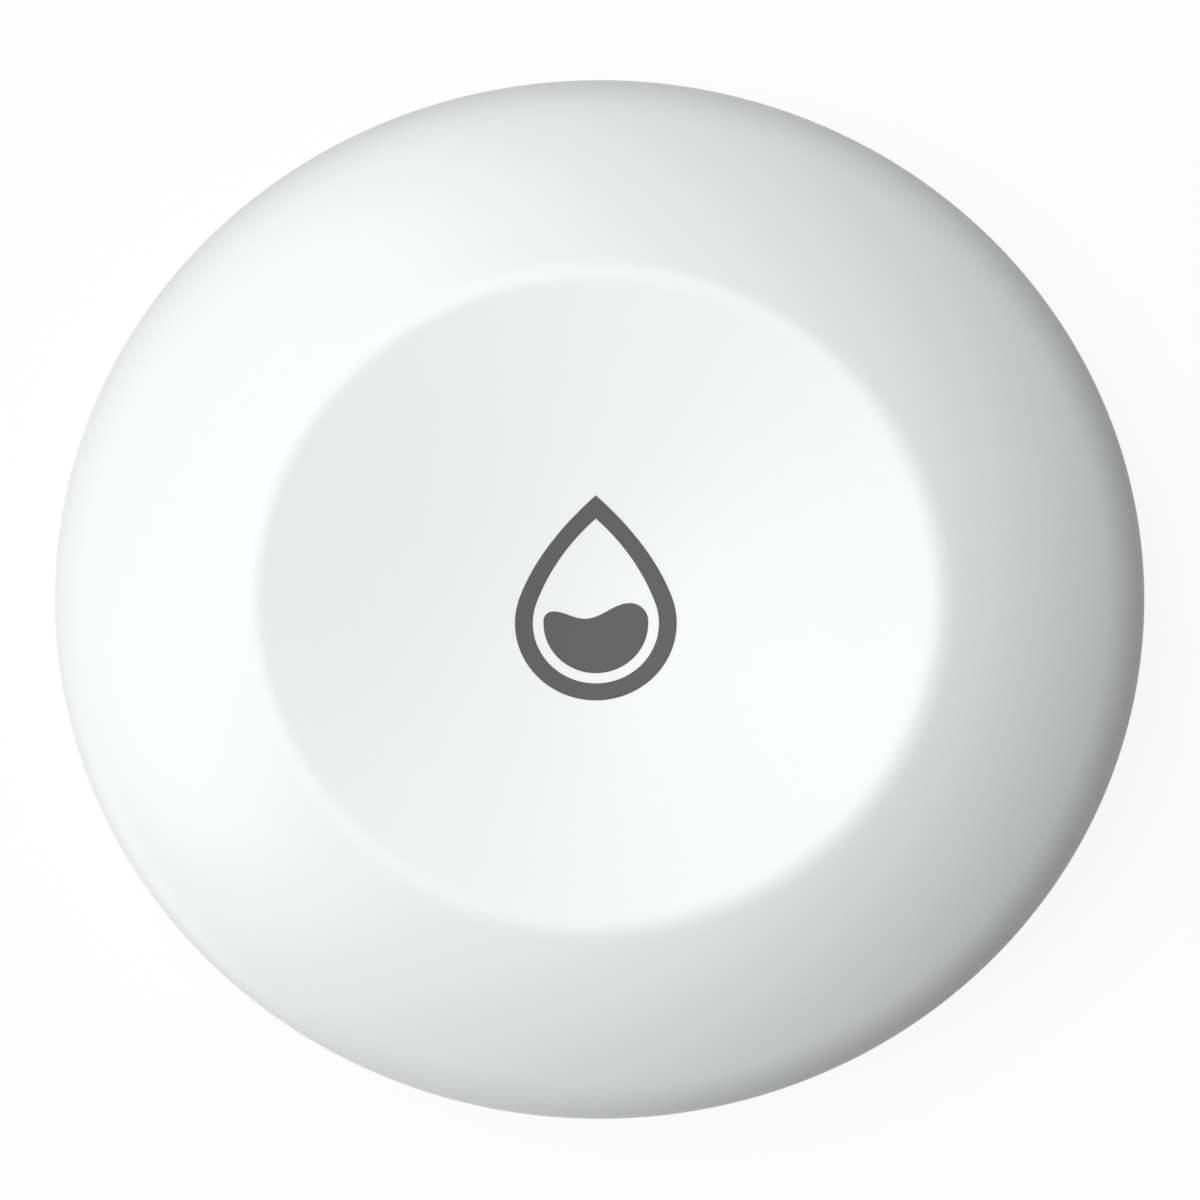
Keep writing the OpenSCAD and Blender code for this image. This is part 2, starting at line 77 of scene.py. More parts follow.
# Outline: tilts of its outward normal from straight up in degrees, the first two as shares of
# the slope from crest to waist, and how many degrees the inner walls stop short of the outer ones
RIM_SHARE = 0.4644
EDGE_SHARE = 1.0265
SIDE_TILT = 115
DISH_TILT = 8
DOME_SHORT = 3
BOWL_SHORT = 12
SIDE_ROUND = 12 * MM

# How round the dish is: 0 gives a cone, larger values a fuller bowl
BOWL_SHARE = 0.5

# Fits and small roundings; HOLD keeps a flat face flat up to its rounded edge
FIT = 0.05 * MM
HAIRLINE = 0.0005 * MM
OVERLAP = 0.2 * MM
SEAM_ROUND = 0.14 * MM
EDGE_SOFT = 0.25 * MM
CHAMFER = 0.12 * MM
HOLD = 4 * CHAMFER

# Lap joint between the shell and the base
SKIRT = 0.95 * MM
TONGUE = 1 * MM
TONGUE_HEIGHT = 2.4 * MM
SEAL_HEIGHT = 0.6 * MM

# Rim of the dish: joint, seal groove, snap tabs and the pusher that bears on the switch
PRESS_INSET = 0.45 * MM
LIP_EDGE = 0.3 * MM
RIM_WALL = 1.55 * MM
GROOVE_DEPTH = 0.85 * MM
GROOVE_HEIGHT = 0.9 * MM
GROOVE_ABOVE_LIP = 0.15 * MM
TAB_HEIGHT = 0.9 * MM
TAB_REACH = 0.95 * MM
TAB_WIDTH = 6 * MM
PUSHER = 2 * MM
PUSHER_LOW = 12.45 * MM

# Threaded opening: seal grooves, collar and ribs
FLANGE_HEIGHT = 1.45 * MM
FLANGE_FIT = 0.15 * MM
SEAL_IN = 0.5 * MM
SEAL_OUT = 1.8 * MM
DOOR_GROOVE = 0.5 * MM
BASE_GROOVE = 0.75 * MM
COLLAR = 1.4 * MM
COLLAR_FOOT = 0.8 * MM
COLLAR_FOOT_TOP = 4.4 * MM
RIB_HEIGHT = 0.9 * MM
RIB_DEPTH = 0.7 * MM
RIB_FLANK = 0.2 * MM
RIB_GAP = 0.2 * MM
RIB_ARC = 50
RIB_STARTS = (0, 120, 240)

# Places on the ring around the door
FOOT_ANGLES = (45, 135, 225, 315)
PROBE_ANGLES = (0, 180)
POST_ANGLES = (90, 270)

# Radii and heights of the screw pillars, the probe bosses and the board posts in the base
HEAD_BORE = 1.75 * MM
HEAD_SEAT = 3.4 * MM
SHANK_BORE = 1.15 * MM
PILLAR = 3 * MM
PILLAR_TOP = 5 * MM
PROBE_BORE = 1.55 * MM
PROBE_SEAT = 2.4 * MM
PROBE_BOSS = 3.4 * MM
PROBE_BOSS_TOP = 4.2 * MM
POST = 1.7 * MM
POST_TOP = 9 * MM
PIN = 0.9 * MM
PIN_TOP = 10.05 * MM

# Raised arrows on the door, and the ticks on door and base that meet when it is shut
ARROW_ANGLES = (70, 250)
TICK_LONG = 1.05 * MM
TICK_INSIDE = 1.4 * MM
TICK_OUTSIDE = 0.7 * MM
TICK_ARC = 2.4
TICK_ANGLE = 270 - TICK_ARC / 2

Arc = namedtuple("Arc", "centre degrees steps")


def linear(code):
    """Linear colour of an sRGB hex code."""
    parts = [int(code[i : i + 2], 16) / 255 for i in (1, 3, 5)]
    return [p / 12.92 if p <= 0.04045 else ((p + 0.055) / 1.055) ** 2.4 for p in parts]


def length(name, about, metres):
    """A length that a user may change."""
    return FloatProperty(
        name=name, description=about, default=metres, min=0.0, unit="LENGTH", precision=5
    )


def colour(name, about, code):
    """A colour that a user may change, given as an sRGB hex code."""
    return FloatVectorProperty(
        name=name, description=about, default=linear(code), min=0.0, max=1.0, size=3,
        subtype="COLOR",
    )


class SensorBody(PropertyGroup):
    """Sizes of the shell, the base and the dish."""

    width: length("Width", "Width of the body, left to right", CAD_SIZE.x)
    depth: length("Depth", "Depth of the body, front to back", CAD_SIZE.y)
    height: length("Height", "Height of the crest above the floor", CAD_SIZE.z)
    wall: length("Wall", "Wall of the shell and the base", 1.8 * MM)
    waist: length("Waist", "Height of the widest line", 8.2 * MM)
    seam: length("Seam", "Height of the shoulder of the base", 7.2 * MM)
    seam_gap: length("Seam gap", "Open joint between shell and base", 0.3 * MM)
    underside: length("Underside", "Height of the underside above the floor", 1.2 * MM)
    crest: length("Crest", "Diameter of the crest around the dish, front to back", 30 * MM)
    crest_round: length("Crest rounding", "Rounding over the crest", 2.6 * MM)
    dish_depth: length("Dish depth", "Depth of the dish below its edge", 1.4 * MM)
    dish_wall: length("Dish wall", "Thickness of the dish", 1.4 * MM)


class SensorMark(PropertyGroup):
    """Sizes of the drop pictogram."""

    radius: length("Radius", "Radius of the round end of the drop", 3.575 * MM)
    line: length("Line", "Width of the outline", 0.79 * MM)
    gap: length("Gap", "Gap between the outline and the pool", 0.47 * MM)
    proud: length("Proud", "Height of the grey plastic above the dish", 0.012 * MM)
    inlay: length("Inlay", "Depth of the grey plastic in the dish", 0.2 * MM)


class SensorUnderside(PropertyGroup):
    """Sizes of the door, the feet, the probes and the cell."""

    ring: length("Ring", "Radius of the circle of feet and probes", 17.75 * MM)
    foot: length("Foot", "Radius of a foot", 2.3 * MM)
    foot_seat: length("Foot seat", "Depth of the recess that holds a foot", 0.8 * MM)
    probe: length("Probe", "Radius of a probe head", 2.3 * MM)
    probe_low: length("Probe height", "Height of the probe heads above the floor", 0.5 * MM)
    door: length("Door", "Radius of the flange of the door", 14.4 * MM)
    bore: length("Bore", "Radius of the threaded opening", 12.1 * MM)
    boss: length("Boss", "Radius of the threaded wall of the door", 11.2 * MM)
    cup: length("Cup", "Radius of the cup for the cell", 10.2 * MM)
    lead: length("Lead", "Drop of the door in one turn", 6.6 * MM)
    cell: length("Cell", "Diameter of the coin cell", 20 * MM)
    cell_seat: length("Cell seat", "Height of the seat of the cell", 4.2 * MM)
    cell_height: length("Cell height", "Height of the coin cell", 3.2 * MM)


class SensorColours(PropertyGroup):
    """Colours of the visible finishes."""

    shell: colour("Shell", "White of the moulded case", "#F0F1F1")
    mark: colour("Mark", "Grey of the drop pictogram", "#484849")
    foot: colour("Foot", "Grey of the soft feet", "#AEB0B3")
    floor: colour("Floor", "Pale floor", "#F8F8F8")


class Sensor(PropertyGroup):
    """All values of the sensor."""

    body: PointerProperty(type=SensorBody)
    mark: PointerProperty(type=SensorMark)
    underside: PointerProperty(type=SensorUnderside)
    colours: PointerProperty(type=SensorColours)


def tilted(centre, radius, tilt):
    """Point of an arc where its outward normal leans out by tilt degrees from straight up."""
    t = math.radians(tilt)
    return centre[0] + radius * math.sin(t), centre[1] + radius * math.cos(t)


def outline(body):
    """Arcs of the body from the crest over the waist to the underside, and lines of the dish."""
    form = SimpleNamespace(half=body.depth / 2, stretch=body.width / body.depth)
    form.crest = (body.crest / 2, body.height - body.crest_round)
    slope = math.degrees(math.atan2(body.height - body.waist, form.half - form.crest[0]))
    form.rim_tilt, form.edge_tilt = RIM_SHARE * slope, EDGE_SHARE * slope
    rim, edge, side = (math.radians(t) for t in (form.rim_tilt, form.edge_tilt, SIDE_TILT))
    # Two arcs, the shoulder and the edge, share the way from the rim to the waist
    start = tilted(form.crest, body.crest_round, form.rim_tilt)
    run, fall = form.half - start[0], start[1] - body.waist
    turn_run, turn_fall = math.sin(edge) - math.sin(rim), math.cos(rim) - math.cos(edge)
    last_run, last_fall = 1 - math.sin(edge), math.cos(edge)
    edge_round = (fall * turn_run - run * turn_fall) / (
        last_fall * turn_run - last_run * turn_fall
    )
    form.shoulder_round = (run - edge_round * last_run) / turn_run
    form.shoulder = tilted(form.crest, body.crest_round - form.shoulder_round, form.rim_tilt)
    form.edge = (form.half - edge_round, body.waist)
    form.side = (form.half - SIDE_ROUND, body.waist)
    corner_round = (body.waist - body.underside + SIDE_ROUND * math.cos(side)) / (
        1 + math.cos(side)
    )
    form.corner = tilted(form.side, SIDE_ROUND - corner_round, SIDE_TILT)
    form.dish_edge = tilted(form.crest, body.crest_round, -DISH_TILT)
    form.dish_middle = form.dish_edge[1] - body.dish_depth
    form.press = form.dish_edge[0] - PRESS_INSET
    form.lip = tilted(form.shoulder, form.shoulder_round - body.wall, form.rim_tilt)[1]
    form.tongue = form.half - SKIRT - 2 * FIT
    form.tongue_top = body.seam + TONGUE_HEIGHT
    form.step = form.tongue_top + SEAL_HEIGHT
    return form


def dish_height(form, body, r):
    """Height of the dish at a radius: a bowl that grows steeper towards its edge."""
    share = math.hypot(r / form.dish_edge[0], BOWL_SHARE) - BOWL_SHARE
    return form.dish_middle + body.dish_depth * share / (math.hypot(1, BOWL_SHARE) - BOWL_SHARE)


def dish_line(form, body, start, end, steps, drop=0.0):
    """Points along the dish from one radius to another, lowered by drop."""
    radii = [start + (end - start) * i / steps for i in range(steps + 1)]
    return [(r, dish_height(form, body, r) - drop) for r in radii]


def tidied(bm):
    """Merges doubles and turns the faces outwards."""
    bmesh.ops.remove_doubles(bm, verts=bm.verts, dist=MERGE)
    bmesh.ops.dissolve_degenerate(bm, dist=MERGE, edges=bm.edges)
    bmesh.ops.recalc_face_normals(bm, faces=bm.faces)
    return bm


def drawn(path):
    """A line in the XZ plane of points and arcs; an arc swings the last point about its centre."""
    bm = bmesh.new()
    ends = []
    for item in path:
        if isinstance(item, Arc):
            x, z = item.centre
            swing = bmesh.ops.spin(
                bm, geom=ends[-1:], cent=(x, 0, z), axis=(0, 1, 0),
                angle=math.radians(item.degrees), steps=item.steps,
            )
            ends.append(swing["geom_last"][0])
        else:
            ends.append(bm.verts.new((item[0], 0, item[1])))
            if len(ends) > 1:
                bm.edges.new(ends[-2:])
    return bm, ends[0], ends[-1]


def turned(path, steps=ROUND_STEPS):
    """A line spun once about Z, first closed to a loop where it doesn't start on the axis."""
    bm, first, last = drawn(path)
    if first.co.x > 0:
        bm.edges.new((last, first))
    bmesh.ops.spin(
        bm, geom=bm.verts[:] + bm.edges[:], cent=(0, 0, 0), axis=(0, 0, 1), angle=FULL_TURN,
        steps=steps, use_merge=True,
    )
    return tidied(bm)


def swept(corners, degrees, steps, rise=0.0):
    """A closed bar: corners in the XZ plane spun about Z, climbing by rise on their way."""
    bm, first, last = drawn(corners)
    bm.edges.new((last, first))
    bmesh.ops.spin(
        bm, geom=bm.verts[:] + bm.edges[:], cent=(0, 0, 0), axis=(0, 0, 1),
        dvec=(0, 0, rise / steps), angle=math.radians(degrees), steps=steps,
    )
    bmesh.ops.holes_fill(bm, edges=bm.edges)
    return tidied(bm)


def sliced(bm, point, normal, **settings):
    """Cuts a mesh along a plane."""
    bmesh.ops.bisect_plane(
        bm, geom=bm.verts[:] + bm.edges[:] + bm.faces[:], plane_co=point, plane_no=normal,
        **settings,
    )


def joined(bodies):
    """One mesh of several closed bodies."""
    whole = bmesh.new()
    for bm in bodies:
        mesh = bpy.data.meshes.new("joined")
        bm.to_mesh(mesh)
        bm.free()
        whole.from_mesh(mesh)
        bpy.data.meshes.remove(mesh)
    return whole


def around(make, angles, radius=0.0):
    """A body for each angle on a circle about Z."""
    bodies = []
    for angle in angles:
        bm = make()
        bmesh.ops.translate(bm, vec=(radius, 0, 0), verts=bm.verts)
        turn = Matrix.Rotation(math.radians(angle), 3, "Z")
        bmesh.ops.rotate(bm, cent=(0, 0, 0), matrix=turn, verts=bm.verts)
        bodies.append(bm)
    return bodies


def ringed(path, angles, radius):
    """A small turned body for each angle on a circle about Z."""
    return around(lambda: turned(path, SMALL_STEPS), angles, radius)


def stretched(bm, factor):
    """Stretches a round body to the oval of the case."""
    bmesh.ops.scale(bm, vec=(factor, 1, 1), verts=bm.verts)
    return bm


def combined(bm, others, operation):
    """A body with others taken out of it or added to it, under one skin."""
    things = []
    for name, shape in (("blank", bm), ("other", joined(others))):
        mesh = bpy.data.meshes.new(name)
        shape.to_mesh(mesh)
        shape.free()
        things.append(bpy.data.objects.new(name, mesh))
        bpy.context.scene.collection.objects.link(things[-1])
    blank, other = things
    step = blank.modifiers.new("combine", "BOOLEAN")
    step.operation, step.solver, step.object = operation, "EXACT", other
    result = bmesh.new()
    result.from_object(blank, bpy.context.evaluated_depsgraph_get())
    for thing in things:
        mesh = thing.data
        bpy.data.objects.remove(thing)
        bpy.data.meshes.remove(mesh)
    return tidied(result)


def cut(bm, tools):
    """Cuts the tools out of a body."""
    return combined(bm, tools, "DIFFERENCE")


def fused(bm, parts):
    """Makes one body of a body and the parts that are sunk into it."""
    return combined(bm, parts, "UNION")


def placed(bm, name, body, slot, material, *nodes):
    """The finished piece: rides on its body and stands for its nodes."""
    if not bm.faces or any(len(edge.link_faces) != 2 for edge in bm.edges):
        raise RuntimeError(f"{name} isn't a closed body")
    mesh = bpy.data.meshes.new(name)
    bm.to_mesh(mesh)
    bm.free()
    mesh.shade_smooth()
    mesh.set_sharp_from_angle(angle=SHARP_ANGLE)
    mesh.materials.append(material)
    piece = bpy.data.objects.new(name, mesh)
    bpy.context.scene.collection.objects.link(piece)
    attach(piece, body)
    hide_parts(*nodes)


def painted(material, *nodes):
    """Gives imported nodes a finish."""
    for node in nodes:
        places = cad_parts[node].material_slots
        if not places:
            raise RuntimeError(f"{node} has no place for a material")
        for place in places:
            place.material = material


# Colour sockets of a Mix node: first, second and result
MIX_A, MIX_B, MIX_OUT = 6, 7, 2


def add(tree, kind, links=None, **settings):
    """Adds a node with its settings; an input gets a value or another node's output."""
    node = tree.nodes.new("ShaderNode" + kind)
    for key, value in settings.items():
        setattr(node, key, value)
    for key, value in (links or {}).items():
        if isinstance(value, bpy.types.NodeSocket):
            tree.links.new(value, node.inputs[key])
        else:
            node.inputs[key].default_value = value
    return node


def rgba(tint):
    """A colour with its alpha."""
    return (*tint, 1.0)


def tints(*codes):
    """Linear colours of sRGB hex codes."""
    return [linear(code) for code in codes]


def shades(tint, *shares):
    """A colour made darker or lighter by each share."""
    return [[min(1.0, part * share) for part in tint] for share in shares]


# Grains finer than a pixel of the photograph, 0.05 mm, are drawn coarser so that they show
def grained(name, pair, grain, depth, roughness, mottle, constants):
    """A finish that drifts between two tints over mottle, under a grain of a size and a depth."""
    made = bpy.data.materials.new(name)
    made.use_nodes = True
    tree = made.node_tree
    shader = tree.nodes["Principled BSDF"]
    for key, value in constants.items():
        shader.inputs[key].default_value = value
    place = add(tree, "TexCoord").outputs["Object"]
    drift = add(tree, "TexNoise", {"Vector": place, "Scale": 1 / mottle, "Detail": 3.0})
    dark, light = (rgba(part) for part in pair)
    tint = add(tree, "Mix", {0: drift.outputs[0], MIX_A: dark, MIX_B: light}, data_type="RGBA")
    fine = add(tree, "TexNoise", {"Vector": place, "Scale": 1 / grain, "Detail": 2.0})
    low, high = roughness
    gloss = add(tree, "MapRange", {"Value": fine.outputs[0], "To Min": low, "To Max": high})
    bump = add(tree, "Bump", {"Height": fine.outputs[0], "Distance": depth})
    tree.links.new(tint.outputs[MIX_OUT], shader.inputs["Base Color"])
    tree.links.new(gloss.outputs[0], shader.inputs["Roughness"])
    tree.links.new(bump.outputs[0], shader.inputs["Normal"])
    return SimpleNamespace(
        material=made, tree=tree, shader=shader, place=place, tint=tint.outputs[MIX_OUT],
        normal=bump.outputs[0],
    )


def white_abs(colours):
    """ABS from a spark-eroded mould: even white, a satin sheen, a grain that shows close up."""
    name = "moulded white ABS"
    if name in bpy.data.materials:
        return bpy.data.materials[name]
    # Sparks leave a grain of about 0.05 mm, drawn three times as coarse so that it shows
    return grained(
        name, shades(colours.shell, 0.992, 1.006), grain=0.16 * MM, depth=0.0012 * MM,
        roughness=(0.4, 0.48), mottle=9 * MM, constants={"IOR": 1.53},
    ).material


def grey_abs(colours):
    """ABS of the second shot: flat grey, a little duller than the white around it."""
    # The same spark grain, drawn coarser so that it shows
    return grained(
        "moulded grey ABS", shades(colours.mark, 0.97, 1.03), grain=0.12 * MM,
        depth=0.001 * MM, roughness=(0.58, 0.66), mottle=3 * MM, constants={"IOR": 1.53},
    ).material


def soft_tpe(colours):
    """Moulded elastomer: a soft grey that takes light without a highlight and holds some dust."""
    return grained(
        "moulded grey TPE", shades(colours.foot, 0.9, 1.05), grain=0.1 * MM,
        depth=0.004 * MM, roughness=(0.68, 0.85), mottle=0.7 * MM, constants={"IOR": 1.5},
    ).material


def silicone():
    """Cast silicone: milky grey, light goes in a little way."""
    return grained(
        "cast silicone", tints("#C4C6C6", "#D2D4D4"), grain=0.2 * MM, depth=0.001 * MM,
        roughness=(0.42, 0.55), mottle=2 * MM,
        constants={"IOR": 1.41, "Subsurface Weight": 0.3, "Subsurface Scale": 0.6 * MM},
    ).material


def nitrile_rubber():
    """Pressed nitrile rubber: near black with a dull bloom."""
    return grained(
        "pressed nitrile rubber", tints("#262628", "#343437"), grain=0.08 * MM,
        depth=0.002 * MM, roughness=(0.5, 0.7), mottle=0.8 * MM, constants={"IOR": 1.52},
    ).material


def rolled_metal(name, pair, roughness, streak):
    """Rolled sheet: fine lines along the rolling direction, Y."""
    # Rolling lines lie a few hundredths of a millimetre apart, drawn at 0.05 mm so that they show
    made = grained(
        name, pair, grain=0.05 * MM, depth=0.0006 * MM, roughness=roughness, mottle=streak,
        constants={"Metallic": 1.0},
    )
    along = 0.06
    lines = add(made.tree, "Mapping", {"Vector": made.place, "Scale": (1.0, along, 1.0)})
    for node in made.tree.nodes:
        if node.bl_idname == "ShaderNodeTexNoise":
            made.tree.links.new(lines.outputs[0], node.inputs["Vector"])
    return made.material


def nickel_spring():
    """Nickel-plated spring steel: warm grey, drawn lines, a clear sheen."""
    return rolled_metal(
        "rolled nickel-plated steel", tints("#B9B4A8", "#CFCABF"), roughness=(0.22, 0.34),
        streak=0.4 * MM,
    )


def tin_plate():
    """Tin-plated sheet: cool grey and softly blurred."""
    return rolled_metal(
        "rolled tin plate", tints("#B8BABD", "#CCCED0"), roughness=(0.3, 0.42), streak=0.5 * MM
    )


def zinc_steel():
    """Zinc-plated screws: bluish grey with cloudy passivation."""
    return grained(
        "zinc-plated steel", tints("#A3A7AB", "#C3C4C2"), grain=0.09 * MM, depth=0.001 * MM,
        roughness=(0.28, 0.42), mottle=0.6 * MM, constants={"Metallic": 1.0},
    ).material


def turned_metal(name, pair, roughness, axis_x, pitch):
    """Turned metal: rings of tool marks about an upright axis at axis_x and at its mirror image."""
    # Tool marks lie about 0.05 mm apart, so each pitch is drawn coarser to show
    mark_depth, mark_shade = 0.007 * pitch, 0.9
    made = grained(
        name, pair, grain=0.08 * MM, depth=0.0004 * MM, roughness=roughness, mottle=0.8 * MM,
        constants={"Metallic": 1.0},
    )
    tree = made.tree
    parts = add(tree, "SeparateXYZ", {"Vector": made.place})
    side = add(tree, "Math", {0: parts.outputs["X"]}, operation="ABSOLUTE")
    shift = add(tree, "Math", {0: side.outputs[0], 1: axis_x}, operation="SUBTRACT")
    flat = add(tree, "CombineXYZ", {"X": shift.outputs[0], "Y": parts.outputs["Y"]})
    reach = add(tree, "VectorMath", {0: flat.outputs[0]}, operation="LENGTH").outputs["Value"]
    phase = add(tree, "Math", {0: reach, 1: FULL_TURN / pitch}, operation="MULTIPLY")
    rings = add(tree, "Math", {0: phase.outputs[0]}, operation="SINE")
    marks = add(
        tree, "Bump",
        {"Height": rings.outputs[0], "Distance": mark_depth, "Normal": made.normal},
    )
    tree.links.new(marks.outputs[0], made.shader.inputs["Normal"])
    # Half of each ring is also coloured a little darker, along the rings of the bump
    darker_ring = rgba(*shades(pair[0], mark_shade))
    lines = add(
        tree, "Mix", {0: rings.outputs[0], MIX_A: made.tint, MIX_B: darker_ring}, data_type="RGBA"
    )
    tree.links.new(lines.outputs[MIX_OUT], made.shader.inputs["Base Color"])
    return made.material


def probe_steel(ring):
    """Turned stainless steel: bright, with rings of tool marks on the domed heads."""
    return turned_metal(
        "turned stainless steel", tints("#B9B8B5", "#CFCECB"), roughness=(0.16, 0.26),
        axis_x=ring, pitch=0.28 * MM,
    )


def cell_steel():
    """Drawn and nickel-plated steel of the cell: pale grey with faint rings from the press."""
    return turned_metal(
        "drawn nickel-plated steel", tints("#BDBAB4", "#D3D1CB"), roughness=(0.2, 0.3),
        axis_x=0.0, pitch=0.25 * MM,
    )


def bush_brass(ring):
    """Turned brass of the standoffs: yellow, with tool marks."""
    return turned_metal(
        "turned brass", tints("#B8924F", "#D2AF6C"), roughness=(0.24, 0.34), axis_x=ring,
        pitch=0.15 * MM,
    )


def board_laminate():
    """Glass-epoxy board under green solder mask: glossy, copper tracks show paler through it."""
    track, track_height, row, run = 0.15 * MM, 0.03 * MM, 0.75 * MM, 5.1 * MM
    black, white = (0, 0, 0, 1), (1, 1, 1, 1)
    made = grained(
        "solder mask on laminate", tints("#12502C", "#186338"), grain=0.3 * MM,
        depth=0.001 * MM, roughness=(0.22, 0.32), mottle=6 * MM, constants={"IOR": 1.55},
    )
    copper = add(
        made.tree, "TexBrick",
        {"Vector": made.place, "Scale": 1.0, "Mortar Size": track, "Mortar Smooth": 0.1,
         "Brick Width": run, "Row Height": row, "Color1": black, "Color2": black,
         "Mortar": white},
    ).outputs["Color"]
    mask = add(
        made.tree, "Mix", {0: copper, MIX_A: made.tint, MIX_B: rgba(linear("#2E8A50"))},
        data_type="RGBA",
    )
    raised = add(
        made.tree, "Bump", {"Height": copper, "Distance": track_height, "Normal": made.normal}
    )
    made.tree.links.new(mask.outputs[MIX_OUT], made.shader.inputs["Base Color"])
    made.tree.links.new(raised.outputs[0], made.shader.inputs["Normal"])
    return made.material


def black_resin():
    """Moulded epoxy of chips and switch: matt black with a filler grain, drawn coarser."""
    return grained(
        "moulded black epoxy", tints("#1C1C1E", "#2A2A2C"), grain=0.06 * MM, depth=0.003 * MM,
        roughness=(0.55, 0.7), mottle=0.3 * MM, constants={"IOR": 1.55},
    ).material


def switch_nylon():
    """Moulded nylon of the plunger: dark grey and waxy."""
    return grained(
        "moulded dark nylon", tints("#4A4A4D", "#57575A"), grain=0.1 * MM, depth=0.001 * MM,
        roughness=(0.36, 0.48), mottle=1 * MM, constants={"IOR": 1.53},
    ).material


def led_resin():
    """Cast resin over the light: pale yellow and slightly cloudy."""
    return grained(
        "cast yellow resin", tints("#EDE6C8", "#F3EED8"), grain=0.2 * MM, depth=0.0005 * MM,
        roughness=(0.15, 0.25), mottle=0.5 * MM,
        constants={"IOR": 1.5, "Subsurface Weight": 0.5, "Subsurface Scale": 0.5 * MM},
    ).material


def chip_ceramic():
    """Fired ceramic of the small chips, with tinned ends every 2.6 mm along X."""
    pitch, first, end = 2.6 * MM, 5.6 * MM, 0.5 * MM
    made = grained(
        "fired ceramic with tinned ends", tints("#8A6A48", "#A07E58"), grain=0.05 * MM,
        depth=0.001 * MM, roughness=(0.35, 0.5), mottle=0.3 * MM, constants={"IOR": 1.6},
    )
    tree = made.tree
    parts = add(tree, "SeparateXYZ", {"Vector": made.place})
    start = add(tree, "Math", {0: parts.outputs["X"], 1: first}, operation="SUBTRACT")
    wave = add(tree, "Math", {0: start.outputs[0], 1: pitch}, operation="PINGPONG")
    ends = add(tree, "Math", {0: wave.outputs[0], 1: end}, operation="GREATER_THAN").outputs[0]
    tin = rgba(linear("#C6C7C8"))
    tint = add(tree, "Mix", {0: ends, MIX_A: made.tint, MIX_B: tin}, data_type="RGBA")
    tree.links.new(tint.outputs[MIX_OUT], made.shader.inputs["Base Color"])
    tree.links.new(ends, made.shader.inputs["Metallic"])
    return made.material


def shell_path(form, body):
    """Section of the shell: dish edge, crest, shoulder, edge, skirt, step, inner dome and lip."""
    seam_top = body.seam + body.seam_gap
    foot_tilt = math.degrees(math.acos((seam_top + SEAM_ROUND - body.waist) / SIDE_ROUND))
    foot_centre = tilted(form.side, SIDE_ROUND - SEAM_ROUND, foot_tilt)
    inner_tilt = form.edge_tilt - DOME_SHORT
    return [
        *dish_line(form, body, form.press, form.dish_edge[0], steps=3),
        Arc(form.crest, DISH_TILT + form.rim_tilt, steps=14),
        Arc(form.shoulder, form.edge_tilt - form.rim_tilt, steps=18),
        Arc(form.edge, 90 - form.edge_tilt, steps=24),
        Arc(form.side, foot_tilt - 90, steps=3),
        Arc(foot_centre, 180 - foot_tilt, steps=6),
        (form.half - SKIRT, seam_top),
        (form.half - SKIRT, form.step),
        (form.half - body.wall - TONGUE, form.step),
        tilted(form.shoulder, form.shoulder_round - body.wall, inner_tilt),
        Arc(form.shoulder, form.rim_tilt - inner_tilt, steps=12),
        (form.press, form.lip),
    ]


def shell_boss(form, body, ring):
    """Screw boss of the shell, its top cut to the slope of the dome and sunk in the wall."""
    bore, radius, low, deep = 1.1 * MM, 2.4 * MM, 5 * MM, 11.2 * MM
    top = body.height
    bm = turned(
        [(0, deep), (bore, deep), (bore, low), (radius, low), (radius, top), (0, top)],
        SMALL_STEPS,
    )
    tilt = math.asin((ring - form.shoulder[0]) / form.shoulder_round)
    x, z = tilted(form.shoulder, form.shoulder_round - body.wall / 2, math.degrees(tilt))
    sliced(bm, (x - ring, 0, z), (math.sin(tilt), 0, math.cos(tilt)), clear_outer=True)
    bmesh.ops.holes_fill(bm, edges=bm.edges)
    return tidied(bm)


class LEAK_OT_shell(Operator):
    """Build the domed shell with its four screw bosses"""

    bl_idname = "leak_sensor.shell"
    bl_label = "Domed shell"

    def execute(self, context):
        sensor = context.scene.leak_sensor
        body, ring = sensor.body, sensor.underside.ring
        form = outline(body)
        dome = stretched(turned(shell_path(form, body)), form.stretch)
        bosses = around(lambda: shell_boss(form, body, ring), FOOT_ANGLES, ring)
        placed(
            fused(dome, bosses), "domed_shell", "housing", "white_abs",
            white_abs(sensor.colours), "top_shell",
        )
        return {"FINISHED"}


def dish_path(form, body):
    """Section of the dish: bowl, rim with its seal groove, hollow underside and pusher."""
    edge, rim = form.press - HAIRLINE, form.press - FIT
    lip_low = dish_height(form, body, edge) - LIP_EDGE
    groove = rim - GROOVE_DEPTH
    groove_low = form.lip + GROOVE_ABOVE_LIP
    groove_high = groove_low + GROOVE_HEIGHT
    low = form.lip - FIT - TAB_HEIGHT
    inner = dish_line(form, body, PUSHER, rim - RIM_WALL, steps=16, drop=body.dish_wall)
    return [
        *dish_line(form, body, 0, edge, steps=40),
        (edge, lip_low),
        (rim, lip_low),
        (rim, groove_high),
        (groove, groove_high),
        (groove, groove_low),
        (rim, groove_low),
        (rim, low),
        (rim - RIM_WALL, low),
        *reversed(inner),
        (PUSHER, PUSHER_LOW),
        (0, PUSHER_LOW),
    ]


def dish_tab(form, degrees):
    """Snap tab that hooks under the lip of the shell."""
    start, end = form.press - FIT - OVERLAP, form.press - FIT + TAB_REACH
    low = form.lip - FIT - TAB_HEIGHT
    high = low + TAB_HEIGHT
    return swept(
        [(start, low), (end - EDGE_SOFT, low), (end, low + EDGE_SOFT), (end, high), (start, high)],
        degrees, steps=12,
    )


